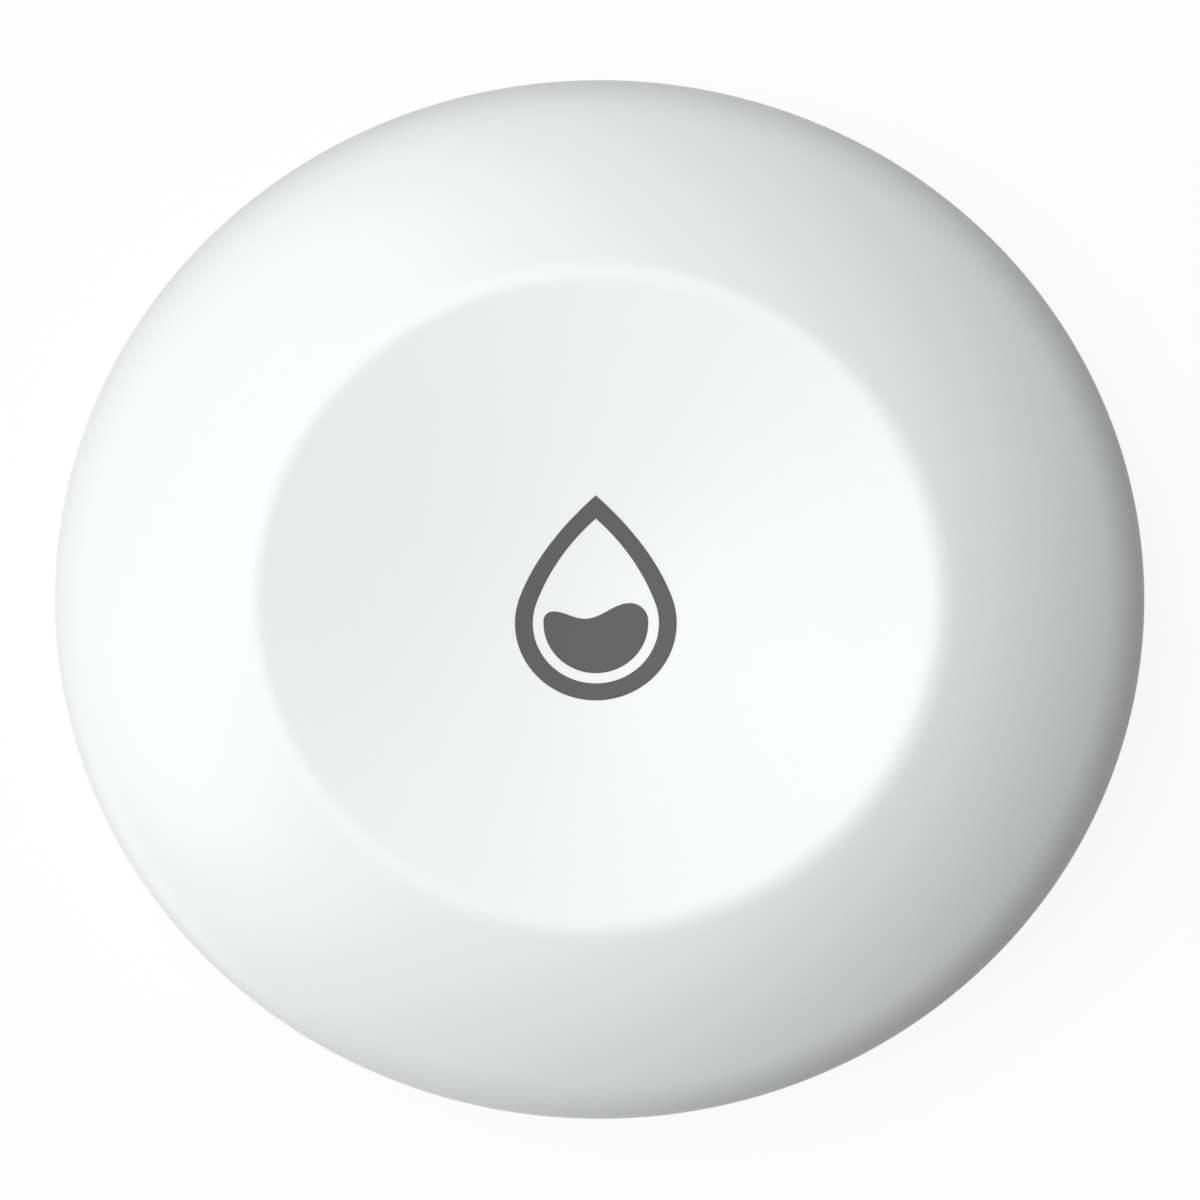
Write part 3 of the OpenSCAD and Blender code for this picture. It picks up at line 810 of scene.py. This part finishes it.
class LEAK_OT_dish(Operator):
    """Build the dished button with its snap tabs and pusher"""

    bl_idname = "leak_sensor.dish"
    bl_label = "Dished button"

    def execute(self, context):
        sensor = context.scene.leak_sensor
        form = outline(sensor.body)
        tab = math.degrees(TAB_WIDTH / form.press)
        starts = [angle - tab / 2 for angle in (*PROBE_ANGLES, *POST_ANGLES)]
        tabs = around(lambda: dish_tab(form, tab), starts)
        whole = fused(turned(dish_path(form, sensor.body)), tabs)
        placed(
            stretched(whole, form.stretch), "dished_button", "dish", "white_abs",
            white_abs(sensor.colours), "press_dish",
        )
        return {"FINISHED"}


# Pictogram: shares of the radius of its round end, angles and fineness
MARK_LOW = 0.308
MARK_TIP = 1.659
TIP_ANGLE = math.radians(47)
SIDE_ANGLE = math.radians(20)
POOL_RISE = 0.12 * MM
POOL_HIGH = 0.353
POOL_LOW = 0.185
POOL_DIP = (-0.207, 0.09)
WAVE_HANDLE = 0.3642
CURVE_STEPS = 16
MARK_GRID = 0.35 * MM

# Handles of a cubic curve: share of the way to its corner, share of a straight line
TO_CORNER = 2 / 3
TO_LINE = 1 / 3


def round_knots(centre, radius, start, end, pieces):
    """Knots of an arc, each a point with its two handles."""
    step = (end - start) / pieces
    handle = 4 / 3 * math.tan(step / 4) * radius
    knots = []
    for i in range(pieces + 1):
        a = start + step * i
        point = centre + radius * Vector((math.cos(a), math.sin(a)))
        along = handle * Vector((-math.sin(a), math.cos(a)))
        knots.append([point - along, point, point + along])
    return knots


def drop_knots(middle, radius, tip_height):
    """Knots of a drop: a round end and two bowed sides that meet in a tip."""
    knots = round_knots(middle, radius, SIDE_ANGLE, -math.pi - SIDE_ANGLE, pieces=4)
    tip = Vector((0, tip_height))
    touch = knots[0][1]
    square = Vector((math.cos(SIDE_ANGLE), math.sin(SIDE_ANGLE)))
    lean = Vector((math.sin(TIP_ANGLE), -math.cos(TIP_ANGLE)))
    bow = tip + lean * (touch - tip).dot(square) / lean.dot(square)
    across = Matrix.Diagonal((-1, 1))
    knots[0][0] = touch.lerp(bow, TO_CORNER)
    knots[-1][2] = across @ knots[0][0]
    tip_handle = tip.lerp(bow, TO_CORNER)
    return [[across @ tip_handle, tip, tip_handle], *knots]


def pool_knots(middle, radius):
    """Knots of the pool: round below, a high crest at the right, a dip, a low crest at the left."""
    high, low = POOL_HIGH * radius, POOL_LOW * radius
    upright = math.pi / 2
    right = round_knots(middle + Vector((radius - high, POOL_RISE)), high, 0, upright, pieces=1)
    left = round_knots(middle + Vector((low - radius, POOL_RISE)), low, upright, math.pi, pieces=1)
    dip = middle + radius * Vector(POOL_DIP)
    bowl = round_knots(middle, radius, math.pi, FULL_TURN, pieces=2)
    fall = Vector((WAVE_HANDLE * (dip.x - right[1][1].x), 0))
    rise = Vector((WAVE_HANDLE * (left[0][1].x - dip.x), 0))
    right[1][2] = right[1][1] + fall
    left[0][0] = left[0][1] - rise
    up = Vector((0, POOL_RISE * TO_LINE))
    right[0][0] = right[0][1] - up
    left[1][2] = left[1][1] - up
    bowl[0][0] = bowl[0][1] + up
    bowl[2][2] = bowl[2][1] + up
    return [*right, [dip - fall, dip, dip + rise], *left, *bowl]


def filled(outlines):
    """A flat mesh inside closed outlines of knots."""
    flat = bpy.data.curves.new("drop outline", "CURVE")
    flat.dimensions, flat.fill_mode, flat.resolution_u = "2D", "BOTH", CURVE_STEPS
    for knots in outlines:
        spline = flat.splines.new("BEZIER")
        spline.bezier_points.add(len(knots) - 1)
        spline.use_cyclic_u = True
        for point, knot in zip(spline.bezier_points, knots):
            point.handle_left_type = point.handle_right_type = "FREE"
            point.handle_left, point.co, point.handle_right = (v.to_3d() for v in knot)
    sketch = bpy.data.objects.new("drop outline", flat)
    bpy.context.scene.collection.objects.link(sketch)
    ready = sketch.evaluated_get(bpy.context.evaluated_depsgraph_get())
    mesh = bpy.data.meshes.new_from_object(ready)
    bm = bmesh.new()
    bm.from_mesh(mesh)
    bpy.data.objects.remove(sketch)
    bpy.data.curves.remove(flat)
    bpy.data.meshes.remove(mesh)
    return tidied(bm)


class LEAK_OT_mark(Operator):
    """Build the grey water-drop pictogram that lies in the dish"""

    bl_idname = "leak_sensor.mark"
    bl_label = "Drop pictogram"

    def execute(self, context):
        sensor = context.scene.leak_sensor
        body, mark = sensor.body, sensor.mark
        form = outline(body)
        middle = Vector((0, -MARK_LOW * mark.radius))
        tip = middle.y + MARK_TIP * mark.radius
        bm = filled([
            drop_knots(middle, mark.radius, tip),
            drop_knots(middle, mark.radius - mark.line, tip - mark.line / math.sin(TIP_ANGLE)),
            pool_knots(middle, mark.radius - mark.line - mark.gap),
        ])
        # A grid of cuts lets the flat pictogram follow the bowl
        lines = math.ceil(MARK_TIP * mark.radius / MARK_GRID)
        for normal in (Vector((1, 0, 0)), Vector((0, 1, 0))):
            for i in range(-lines, lines + 1):
                sliced(bm, i * MARK_GRID * normal, normal, dist=MERGE)
        raised = bmesh.ops.extrude_face_region(bm, geom=bm.faces[:])["geom"]
        top = [v for v in raised if isinstance(v, bmesh.types.BMVert)]
        under = list(set(bm.verts) - set(top))
        bmesh.ops.translate(bm, vec=(0, 0, -mark.inlay), verts=under)
        bmesh.ops.translate(bm, vec=(0, 0, mark.proud), verts=top)
        for v in bm.verts:
            v.co.z += dish_height(form, body, v.co.xy.length)
        placed(
            stretched(tidied(bm), form.stretch), "drop_pictogram", "dish", "grey_abs",
            grey_abs(sensor.colours), "drop_mark",
        )
        return {"FINISHED"}


def levels(body, under):
    """Heights of the threaded opening, from the underside up."""
    z = SimpleNamespace(low=body.underside, floor=body.underside + body.wall)
    z.flange = z.low + FLANGE_HEIGHT
    z.counterbore = z.flange + FIT
    z.base_rib = z.counterbore + RIB_GAP
    z.door_rib = z.base_rib + RIB_HEIGHT + RIB_GAP
    z.top = z.door_rib + RIB_HEIGHT + under.lead * RIB_ARC / 360 + 2 * FIT
    return z


def base_path(form, body, under):
    """Section of the base: underside, corner, side, tongue, inside, collar and opening."""
    z = levels(body, under)
    seam_tilt = math.degrees(math.acos((body.seam - SEAM_ROUND - body.waist) / SIDE_ROUND))
    shoulder_centre = tilted(form.side, SIDE_ROUND - SEAM_ROUND, seam_tilt)
    inner_tilt = SIDE_TILT - BOWL_SHORT
    mouth = under.door + FLANGE_FIT
    groove_top = z.counterbore + BASE_GROOVE
    return [
        (mouth, z.low + CHAMFER),
        (mouth + CHAMFER, z.low),
        (form.corner[0] - HOLD, z.low),
        (form.corner[0], z.low),
        Arc(form.corner, SIDE_TILT - 180, steps=20),
        Arc(form.side, seam_tilt - SIDE_TILT, steps=10),
        Arc(shoulder_centre, -seam_tilt, steps=6),
        (form.tongue, body.seam),
        (form.tongue, form.tongue_top),
        (form.tongue - TONGUE, form.tongue_top),
        tilted(form.side, SIDE_ROUND - body.wall, inner_tilt),
        Arc(form.side, SIDE_TILT - inner_tilt, steps=4),
        Arc(form.corner, 180 - SIDE_TILT, steps=8),
        (under.door + COLLAR_FOOT, z.floor),
        (under.door + COLLAR_FOOT, COLLAR_FOOT_TOP),
        (under.bore + COLLAR, COLLAR_FOOT_TOP),
        (under.bore + COLLAR, z.top),
        (under.bore, z.top),
        (under.bore, z.counterbore),
        (under.bore + SEAL_IN, z.counterbore),
        (under.bore + SEAL_IN, groove_top),
        (under.bore + SEAL_OUT, groove_top),
        (under.bore + SEAL_OUT, z.counterbore),
        (mouth, z.counterbore),
    ]


def thread_ribs(root, tip, low, lead):
    """Thread ribs: helical ridges from their root radius to their tip radius."""
    high = low + RIB_HEIGHT
    corners = [(root, low), (tip, low + RIB_FLANK), (tip, high - RIB_FLANK), (root, high)]
    rise = lead * RIB_ARC / 360
    return around(lambda: swept(corners, RIB_ARC, steps=24, rise=rise), RIB_STARTS)


def raised_bar(start, end, low, degrees, steps):
    """Raised bar on the underside, from one radius to another, along an arc about Z."""
    height, sink, slant = 0.22 * MM, 0.1 * MM, CHAMFER / 2
    face, root = low - height, low + sink
    return swept(
        [(start, root), (end, root), (end, face + CHAMFER), (end - slant, face),
         (start + slant, face), (start, face + CHAMFER)],
        degrees, steps,
    )


def shut_tick(start, low):
    """Raised tick that points at its partner across the edge of the door when it is shut."""
    end = start + TICK_LONG
    return around(lambda: raised_bar(start, end, low, TICK_ARC, steps=4), [TICK_ANGLE])


def mouth_path(radius, low):
    """Start of a cutter from below: wide outside the underside, narrowed to a chamfered mouth."""
    below = 2 * CHAMFER
    return [(0, low - below), (radius + CHAMFER + below, low - below), (radius, low + CHAMFER)]


def pocket_path(low, bores):
    """Cutter for a stepped hole from below, given as radii with the heights they reach."""
    path = mouth_path(bores[0][0], low)
    for radius, top in bores:
        path += [(radius, path[-1][1]), (radius, top)]
    return [*path, (0, path[-1][1])]


def base_holes(z, under):
    """Cutters for the recesses of feet and probes, with the holes for screws and shanks above."""
    foot = [
        (under.foot + FIT, z.low + under.foot_seat), (HEAD_BORE, HEAD_SEAT),
        (SHANK_BORE, PILLAR_TOP + OVERLAP),
    ]
    probe = [(under.probe + 2 * FIT, PROBE_SEAT), (PROBE_BORE, PROBE_BOSS_TOP + OVERLAP)]
    return [
        *ringed(pocket_path(z.low, foot), FOOT_ANGLES, under.ring),
        *ringed(pocket_path(z.low, probe), PROBE_ANGLES, under.ring),
    ]


def base_pillars(z, under):
    """Solid screw pillars, probe bosses and board posts, sunk in the floor of the base."""
    sunk = z.floor - OVERLAP / 2
    pillar = [(0, sunk), (PILLAR, sunk), (PILLAR, PILLAR_TOP), (0, PILLAR_TOP)]
    boss = [(0, sunk), (PROBE_BOSS, sunk), (PROBE_BOSS, PROBE_BOSS_TOP), (0, PROBE_BOSS_TOP)]
    post = [
        (0, sunk), (POST, sunk), (POST, POST_TOP), (PIN, POST_TOP), (PIN, PIN_TOP - FIT),
        (PIN - FIT, PIN_TOP), (0, PIN_TOP),
    ]
    return [
        *ringed(pillar, FOOT_ANGLES, under.ring),
        *ringed(boss, PROBE_ANGLES, under.ring),
        *ringed(post, POST_ANGLES, under.ring),
    ]


class LEAK_OT_base(Operator):
    """Build the bowl-shaped base with its collar, thread ribs, pillars and recesses"""

    bl_idname = "leak_sensor.base"
    bl_label = "Base"

    def execute(self, context):
        sensor = context.scene.leak_sensor
        body, under = sensor.body, sensor.underside
        form, z = outline(body), levels(body, under)
        bowl = turned(base_path(form, body, under))
        # Round at the collar, oval from the corner outwards
        inner, outer = under.door + COLLAR_FOOT, form.corner[0] - HOLD
        for v in bowl.verts:
            share = min(1.0, max(0.0, (v.co.xy.length - inner) / (outer - inner)))
            v.co.x *= 1 + (form.stretch - 1) * share
        parts = [
            *base_pillars(z, under),
            *thread_ribs(under.bore + OVERLAP, under.bore - RIB_DEPTH, z.base_rib, under.lead),
            *shut_tick(under.door + TICK_OUTSIDE, z.low),
        ]
        whole = cut(fused(bowl, parts), base_holes(z, under))
        placed(whole, "base_bowl", "housing", "white_abs", white_abs(sensor.colours), "base")
        return {"FINISHED"}


def door_path(body, under):
    """Section of the door: underside with a ring groove, flange, threaded wall and cup."""
    z = levels(body, under)
    groove, groove_width, groove_depth = 9.2 * MM, 0.5 * MM, 0.2 * MM
    core, core_top = 8.4 * MM, 2.9 * MM
    soft = under.door - EDGE_SOFT
    return [
        (0, z.low),
        (groove, z.low),
        (groove + groove_depth / 2, z.low + groove_depth),
        (groove + groove_width, z.low + groove_depth),
        (groove + groove_width + groove_depth / 2, z.low),
        (soft - HOLD, z.low),
        (soft, z.low),
        Arc((soft, z.low + EDGE_SOFT), -90, steps=6),
        (under.door, z.flange),
        (under.bore + SEAL_OUT, z.flange),
        (under.bore + SEAL_OUT, z.flange - DOOR_GROOVE),
        (under.bore + SEAL_IN, z.flange - DOOR_GROOVE),
        (under.bore + SEAL_IN, z.flange),
        (under.boss, z.flange),
        (under.boss, z.top - CHAMFER),
        (under.boss - CHAMFER, z.top),
        (under.cup + CHAMFER, z.top),
        (under.cup, z.top - CHAMFER),
        (under.cup, under.cell_seat),
        (core, under.cell_seat),
        (core, core_top),
        (0, core_top),
    ]


def coin_slot(low):
    """Cutter for the coin slot: straight sides, rounded ends and a chamfered mouth."""
    half, long, deep, flat = 1 * MM, 5.5 * MM, 0.9 * MM, math.radians(0.5)
    bm = turned([*mouth_path(half, low), (half, low + deep), (0, low + deep)], SMALL_STEPS)
    sliced(bm, (0, 0, 0), (1, 0, 0), dist=MERGE)
    for sign in (-1, 1):
        end = [v for v in bm.verts if sign * v.co.x > MERGE]
        bmesh.ops.translate(bm, vec=(sign * long, 0, 0), verts=end)
    bmesh.ops.dissolve_limit(bm, angle_limit=flat, verts=bm.verts, edges=bm.edges)
    return tidied(bm)


def turn_arrow(low):
    """Raised curved arrow that points the way the door opens."""
    radius, half_width, barb = 11.6 * MM, 0.3 * MM, 1 * MM
    shaft, head, blunt = 40, 10, 0.04
    point = raised_bar(radius - barb, radius + barb, low, -head, steps=20)
    for v in point.verts:
        turn = math.atan2(-v.co.y, v.co.x) / math.radians(head)
        out = v.co.xy.length
        v.co.xy *= (radius + (out - radius) * max(blunt, 1 - turn)) / out
    bar = raised_bar(radius - half_width, radius + half_width, low, shaft, steps=24)
    return fused(bar, [tidied(point)])


class LEAK_OT_door(Operator):
    """Build the threaded battery door with its coin slot"""

    bl_idname = "leak_sensor.door"
    bl_label = "Battery door"

    def execute(self, context):
        sensor = context.scene.leak_sensor
        body, under = sensor.body, sensor.underside
        z = levels(body, under)
        blank = cut(turned(door_path(body, under)), [coin_slot(z.low)])
        parts = [
            *thread_ribs(under.boss - OVERLAP, under.boss + RIB_DEPTH, z.door_rib, under.lead),
            *around(lambda: turn_arrow(z.low), ARROW_ANGLES),
            *shut_tick(under.door - TICK_INSIDE, z.low),
        ]
        placed(
            fused(blank, parts), "threaded_door", "door", "white_abs",
            white_abs(sensor.colours), "battery_door",
        )
        return {"FINISHED"}


class LEAK_OT_feet(Operator):
    """Build the four soft feet with their grip rings"""

    bl_idname = "leak_sensor.feet"
    bl_label = "Soft feet"

    def execute(self, context):
        sensor = context.scene.leak_sensor
        under = sensor.underside
        top = sensor.body.underside + under.foot_seat
        soft, rings, groove, deep = 0.5 * MM, (0.6 * MM, 1.2 * MM), 0.12 * MM, 0.08 * MM
        edge = under.foot - soft
        path = [(0, 0)]
        for r in rings:
            path += [(r - groove, 0), (r, deep), (r + groove, 0)]
        path += [(edge, 0), Arc((edge, soft), -90, steps=8), (under.foot, top), (0, top)]
        feet = ringed(path, FOOT_ANGLES, under.ring)
        placed(
            joined(feet), "soft_feet", "housing", "soft_tpe", soft_tpe(sensor.colours), "feet"
        )
        return {"FINISHED"}


def probe_stud(under):
    """Water probe: a domed head with a driver slot, and its shank."""
    low, high, shank, top = under.probe_low, under.probe_low + 1.2 * MM, 1.5 * MM, 6.1 * MM
    dome, edge = 7 * MM, 0.28 * MM
    slot_land, slot_width, slot_height, slot_round = 0.5 * MM, 0.7 * MM, 1.4 * MM, 0.2 * MM
    tilt = math.degrees(math.asin((under.probe - edge) / (dome - edge)))
    centre = (0, low + dome)
    edge_centre = tilted(centre, dome - edge, 180 - tilt)
    stud = turned([
        (0, low),
        Arc(centre, -tilt, steps=12),
        Arc(edge_centre, tilt - 90, steps=6),
        (under.probe, high),
        (shank, high),
        (shank, top - CHAMFER),
        (shank - CHAMFER, top),
        (0, top),
    ], SMALL_STEPS)
    slot = bmesh.new()
    bmesh.ops.create_cube(slot, size=1)
    size = (2 * (under.probe - slot_land), slot_width, slot_height)
    bmesh.ops.scale(slot, vec=size, verts=slot.verts)
    upright = [e for e in slot.edges if abs(e.verts[0].co.z - e.verts[1].co.z) > MERGE]
    bmesh.ops.bevel(
        slot, geom=upright, offset=slot_round, offset_type="OFFSET", segments=4, profile=0.5,
        affect="EDGES", material=-1,
    )
    bmesh.ops.translate(slot, vec=(0, 0, low), verts=slot.verts)
    return cut(stud, [slot])


class LEAK_OT_probes(Operator):
    """Build the two water probes"""

    bl_idname = "leak_sensor.probes"
    bl_label = "Water probes"

    def execute(self, context):
        under = context.scene.leak_sensor.underside
        studs = around(lambda: probe_stud(under), PROBE_ANGLES, under.ring)
        placed(
            joined(studs), "probe_heads", "housing", "probe_steel", probe_steel(under.ring),
            "probe_studs",
        )
        return {"FINISHED"}


class LEAK_OT_cell(Operator):
    """Build the coin cell: drawn can, rolled edge, gasket line and cap"""

    bl_idname = "leak_sensor.cell"
    bl_label = "Coin cell"

    def execute(self, context):
        under = context.scene.leak_sensor.underside
        radius, low = under.cell / 2, under.cell_seat + FIT
        top = under.cell_seat + under.cell_height
        soft, roll, step, cap = 0.4 * MM, 0.25 * MM, 0.35 * MM, 8.8 * MM
        gasket_out, gasket_in, taper = cap + 0.5 * MM, cap + 0.35 * MM, 0.1 * MM
        rim, cap_edge = top - step, cap - taper
        can = turned([
            (0, low),
            (radius - soft, low),
            Arc((radius - soft, low + soft), -90, steps=8),
            (radius, rim - roll),
            Arc((radius - roll, rim - roll), -90, steps=6),
            (gasket_out, rim),
            (gasket_in, rim - step),
            (cap, rim - step),
            (cap_edge, top - roll),
            Arc((cap_edge - roll, top - roll), -90, steps=6),
            (0, top),
        ])
        placed(can, "button_cell", "cell_tray", "cell_steel", cell_steel(), "coin_cell")
        return {"FINISHED"}


class LEAK_OT_seals(Operator):
    """Give the seals their silicone and rubber"""

    bl_idname = "leak_sensor.seals"
    bl_label = "Seals"

    def execute(self, context):
        painted(silicone(), "dish_seal", "case_seal")
        painted(nitrile_rubber(), "door_seal", "probe_seals")
        return {"FINISHED"}


class LEAK_OT_electronics(Operator):
    """Give the board, its parts and contacts their finishes"""

    bl_idname = "leak_sensor.electronics"
    bl_label = "Electronics"

    def execute(self, context):
        painted(board_laminate(), "circuit_board")
        painted(black_resin(), "switch_body", "radio_chip")
        painted(tin_plate(), "switch_cover", "crystal", "shield_can", "antenna")
        painted(nickel_spring(), "cell_clip", "cell_spring")
        painted(switch_nylon(), "switch_plunger")
        painted(led_resin(), "status_led")
        painted(chip_ceramic(), "chip_parts")
        return {"FINISHED"}


class LEAK_OT_fasteners(Operator):
    """Give the screws and standoffs their metals"""

    bl_idname = "leak_sensor.fasteners"
    bl_label = "Fasteners"

    def execute(self, context):
        painted(zinc_steel(), "case_screws", "board_screws")
        painted(bush_brass(context.scene.leak_sensor.underside.ring), "probe_bushes")
        return {"FINISHED"}


# Framing of the photograph in its pixels, and the camera that repeats it, leaning to the right
PHOTO_SIDE = 1200
PHOTO_PER_MM = 21.28
PHOTO_MIDDLE = (599.0, 599.5)
CAMERA_DISTANCE = 0.46
CAMERA_LEAN = math.radians(1.3)
SENSOR_WIDTH = 36

# Soft lamps by elevation, azimuth and watts, all of one size and distance; the last two stand
# below the floor, which lets their light through to the underside
LAMPS = {
    "high lamp": (75, 150, 4.8),
    "back lamp": (30, 120, 1.95),
    "left lamp": (30, 205, 2.6),
    "low lamp": (-30, 215, 1.75),
    "under lamp": (-80, 215, 3.2),
}
LAMP_DISTANCE = 0.9
LAMP_SIZE = 0.5
SKY_LEVEL = 0.14

# Floor: how white it looks straight on and in reflections, and its fibres
FLOOR_SIZE = 3
FLOOR_DROP = 0.02 * MM
FLOOR_WHITE = 0.9
FLOOR_SHEEN = 0.62
FIBRE = 0.8 * MM
FIBRE_SHADE = 0.99


def seen(tree, white=1.0, sheen=1.0):
    """How white a backdrop is to the camera, glass and reflections; 0 for rays that give light."""
    path = add(tree, "LightPath").outputs
    straight = add(
        tree, "Math", {0: path["Is Camera Ray"], 1: path["Is Transmission Ray"]},
        operation="MAXIMUM",
    )
    mirrored = add(tree, "Math", {0: path["Is Glossy Ray"], 1: sheen}, operation="MULTIPLY")
    return add(
        tree, "Math", {0: straight.outputs[0], 1: white, 2: mirrored.outputs[0]},
        operation="MULTIPLY_ADD",
    ).outputs[0]


def floor_paint(tint):
    """Matt paper: white to the eye with a faint shadow, open to light and clear from below."""
    made = bpy.data.materials.new("matt paper floor")
    made.use_nodes = True
    tree = made.node_tree
    tree.nodes.clear()
    place = add(tree, "TexCoord").outputs["Object"]
    # Fibres are finer than a pixel, drawn as flocks so that they show
    fibre = add(tree, "TexNoise", {"Vector": place, "Scale": 1 / FIBRE}).outputs[0]
    dark, light = (rgba(part) for part in shades(tint, FIBRE_SHADE, 1.0))
    pulp = add(tree, "Mix", {0: fibre, MIX_A: dark, MIX_B: light}, data_type="RGBA")
    paper = add(tree, "BsdfDiffuse", {"Color": pulp.outputs[MIX_OUT]}).outputs[0]
    white = add(tree, "Emission", {"Color": (1, 1, 1, 1), "Strength": 1.0}).outputs[0]
    share = seen(tree, FLOOR_WHITE, FLOOR_SHEEN)
    front = add(tree, "MixShader", {0: share, 1: paper, 2: white}).outputs[0]
    path = add(tree, "LightPath").outputs
    rays = add(
        tree, "Math", {0: path["Is Shadow Ray"], 1: path["Is Diffuse Ray"]}, operation="MAXIMUM"
    ).outputs[0]
    behind = add(tree, "NewGeometry").outputs["Backfacing"]
    clear = add(tree, "Math", {0: behind, 1: rays}, operation="MAXIMUM").outputs[0]
    glass = add(tree, "BsdfTransparent").outputs[0]
    whole = add(tree, "MixShader", {0: clear, 1: front, 2: glass}).outputs[0]
    add(tree, "OutputMaterial", {"Surface": whole})
    return made


def lay_floor(scene, tint):
    """Lays the floor just under the feet."""
    bm = bmesh.new()
    bmesh.ops.create_grid(bm, x_segments=1, y_segments=1, size=FLOOR_SIZE)
    bmesh.ops.translate(bm, vec=(0, 0, -FLOOR_DROP), verts=bm.verts)
    mesh = bpy.data.meshes.new("floor")
    bm.to_mesh(mesh)
    bm.free()
    mesh.materials.append(floor_paint(tint))
    floor = bpy.data.objects.new("floor", mesh)
    scene.collection.objects.link(floor)


def hang_lamp(scene, name, elevation, azimuth, watts):
    """Hangs a square soft lamp that faces the sensor."""
    light = bpy.data.lights.new(name, "AREA")
    light.shape, light.size, light.energy = "SQUARE", LAMP_SIZE, watts
    up, across = math.radians(elevation), math.radians(azimuth)
    flat = math.cos(up)
    towards = Vector((flat * math.cos(across), flat * math.sin(across), math.sin(up)))
    lamp = bpy.data.objects.new(name, light)
    lamp.location = LAMP_DISTANCE * towards
    lamp.rotation_mode = "QUATERNION"
    lamp.rotation_quaternion = towards.to_track_quat("Z", "Y")
    scene.collection.objects.link(lamp)


def light_sky(scene):
    """Gives the world a dim even light, white to the eye."""
    sky = bpy.data.worlds.new("studio sky")
    sky.use_nodes = True
    tree = sky.node_tree
    background = tree.nodes["Background"]
    background.inputs["Color"].default_value = (1, 1, 1, 1)
    level = add(tree, "MapRange", {"Value": seen(tree), "To Min": SKY_LEVEL, "To Max": 1.0})
    tree.links.new(level.outputs[0], background.inputs["Strength"])
    scene.world = sky


def aim_camera(scene, waist):
    """Places the camera above, framed as the photograph at the height of the waist."""
    eye = bpy.data.cameras.new("camera above")
    eye.sensor_width = SENSOR_WIDTH
    eye.lens = SENSOR_WIDTH * CAMERA_DISTANCE / (PHOTO_SIDE / PHOTO_PER_MM * MM)
    camera = bpy.data.objects.new("camera above", eye)
    right, down = (PHOTO_SIDE / 2 - middle for middle in PHOTO_MIDDLE)
    target = Vector((right / PHOTO_PER_MM * MM, -down / PHOTO_PER_MM * MM, waist))
    towards = Vector((math.sin(CAMERA_LEAN), 0, math.cos(CAMERA_LEAN)))
    camera.location = target + CAMERA_DISTANCE * towards
    camera.rotation_euler = (0, CAMERA_LEAN, 0)
    scene.collection.objects.link(camera)
    scene.camera = camera


class LEAK_OT_stage(Operator):
    """Set the floor, the lamps, the sky and the camera above"""

    bl_idname = "leak_sensor.stage"
    bl_label = "Stage"

    def execute(self, context):
        scene, sensor = context.scene, context.scene.leak_sensor
        lay_floor(scene, sensor.colours.floor)
        for name, values in LAMPS.items():
            hang_lamp(scene, name, *values)
        light_sky(scene)
        aim_camera(scene, sensor.body.waist)
        scene.view_settings.view_transform = "Standard"
        return {"FINISHED"}


OPERATORS = (
    LEAK_OT_shell,
    LEAK_OT_dish,
    LEAK_OT_mark,
    LEAK_OT_base,
    LEAK_OT_door,
    LEAK_OT_feet,
    LEAK_OT_probes,
    LEAK_OT_cell,
    LEAK_OT_seals,
    LEAK_OT_electronics,
    LEAK_OT_fasteners,
    LEAK_OT_stage,
)


class LEAK_PT_sensor(Panel):
    """Lists the values and the steps that build the sensor"""

    bl_label = "Leak sensor"
    bl_idname = "LEAK_PT_sensor"
    bl_space_type = "VIEW_3D"
    bl_region_type = "UI"
    bl_category = "Leak sensor"

    def draw(self, context):
        sensor = context.scene.leak_sensor
        for group in (sensor.body, sensor.mark, sensor.underside, sensor.colours):
            box = self.layout.box()
            for key in group.__annotations__:
                box.prop(group, key)
        for operator in OPERATORS:
            self.layout.operator(operator.bl_idname)


CLASSES = (
    SensorBody, SensorMark, SensorUnderside, SensorColours, Sensor, *OPERATORS, LEAK_PT_sensor
)


def register():
    for item in CLASSES:
        bpy.utils.register_class(item)
    bpy.types.Scene.leak_sensor = PointerProperty(type=Sensor)


def unregister():
    del bpy.types.Scene.leak_sensor
    for item in reversed(CLASSES):
        bpy.utils.unregister_class(item)


def main():
    register()
    for operator in OPERATORS:
        group, name = operator.bl_idname.split(".")
        getattr(getattr(bpy.ops, group), name)()


if __name__ == "__main__":
    main()
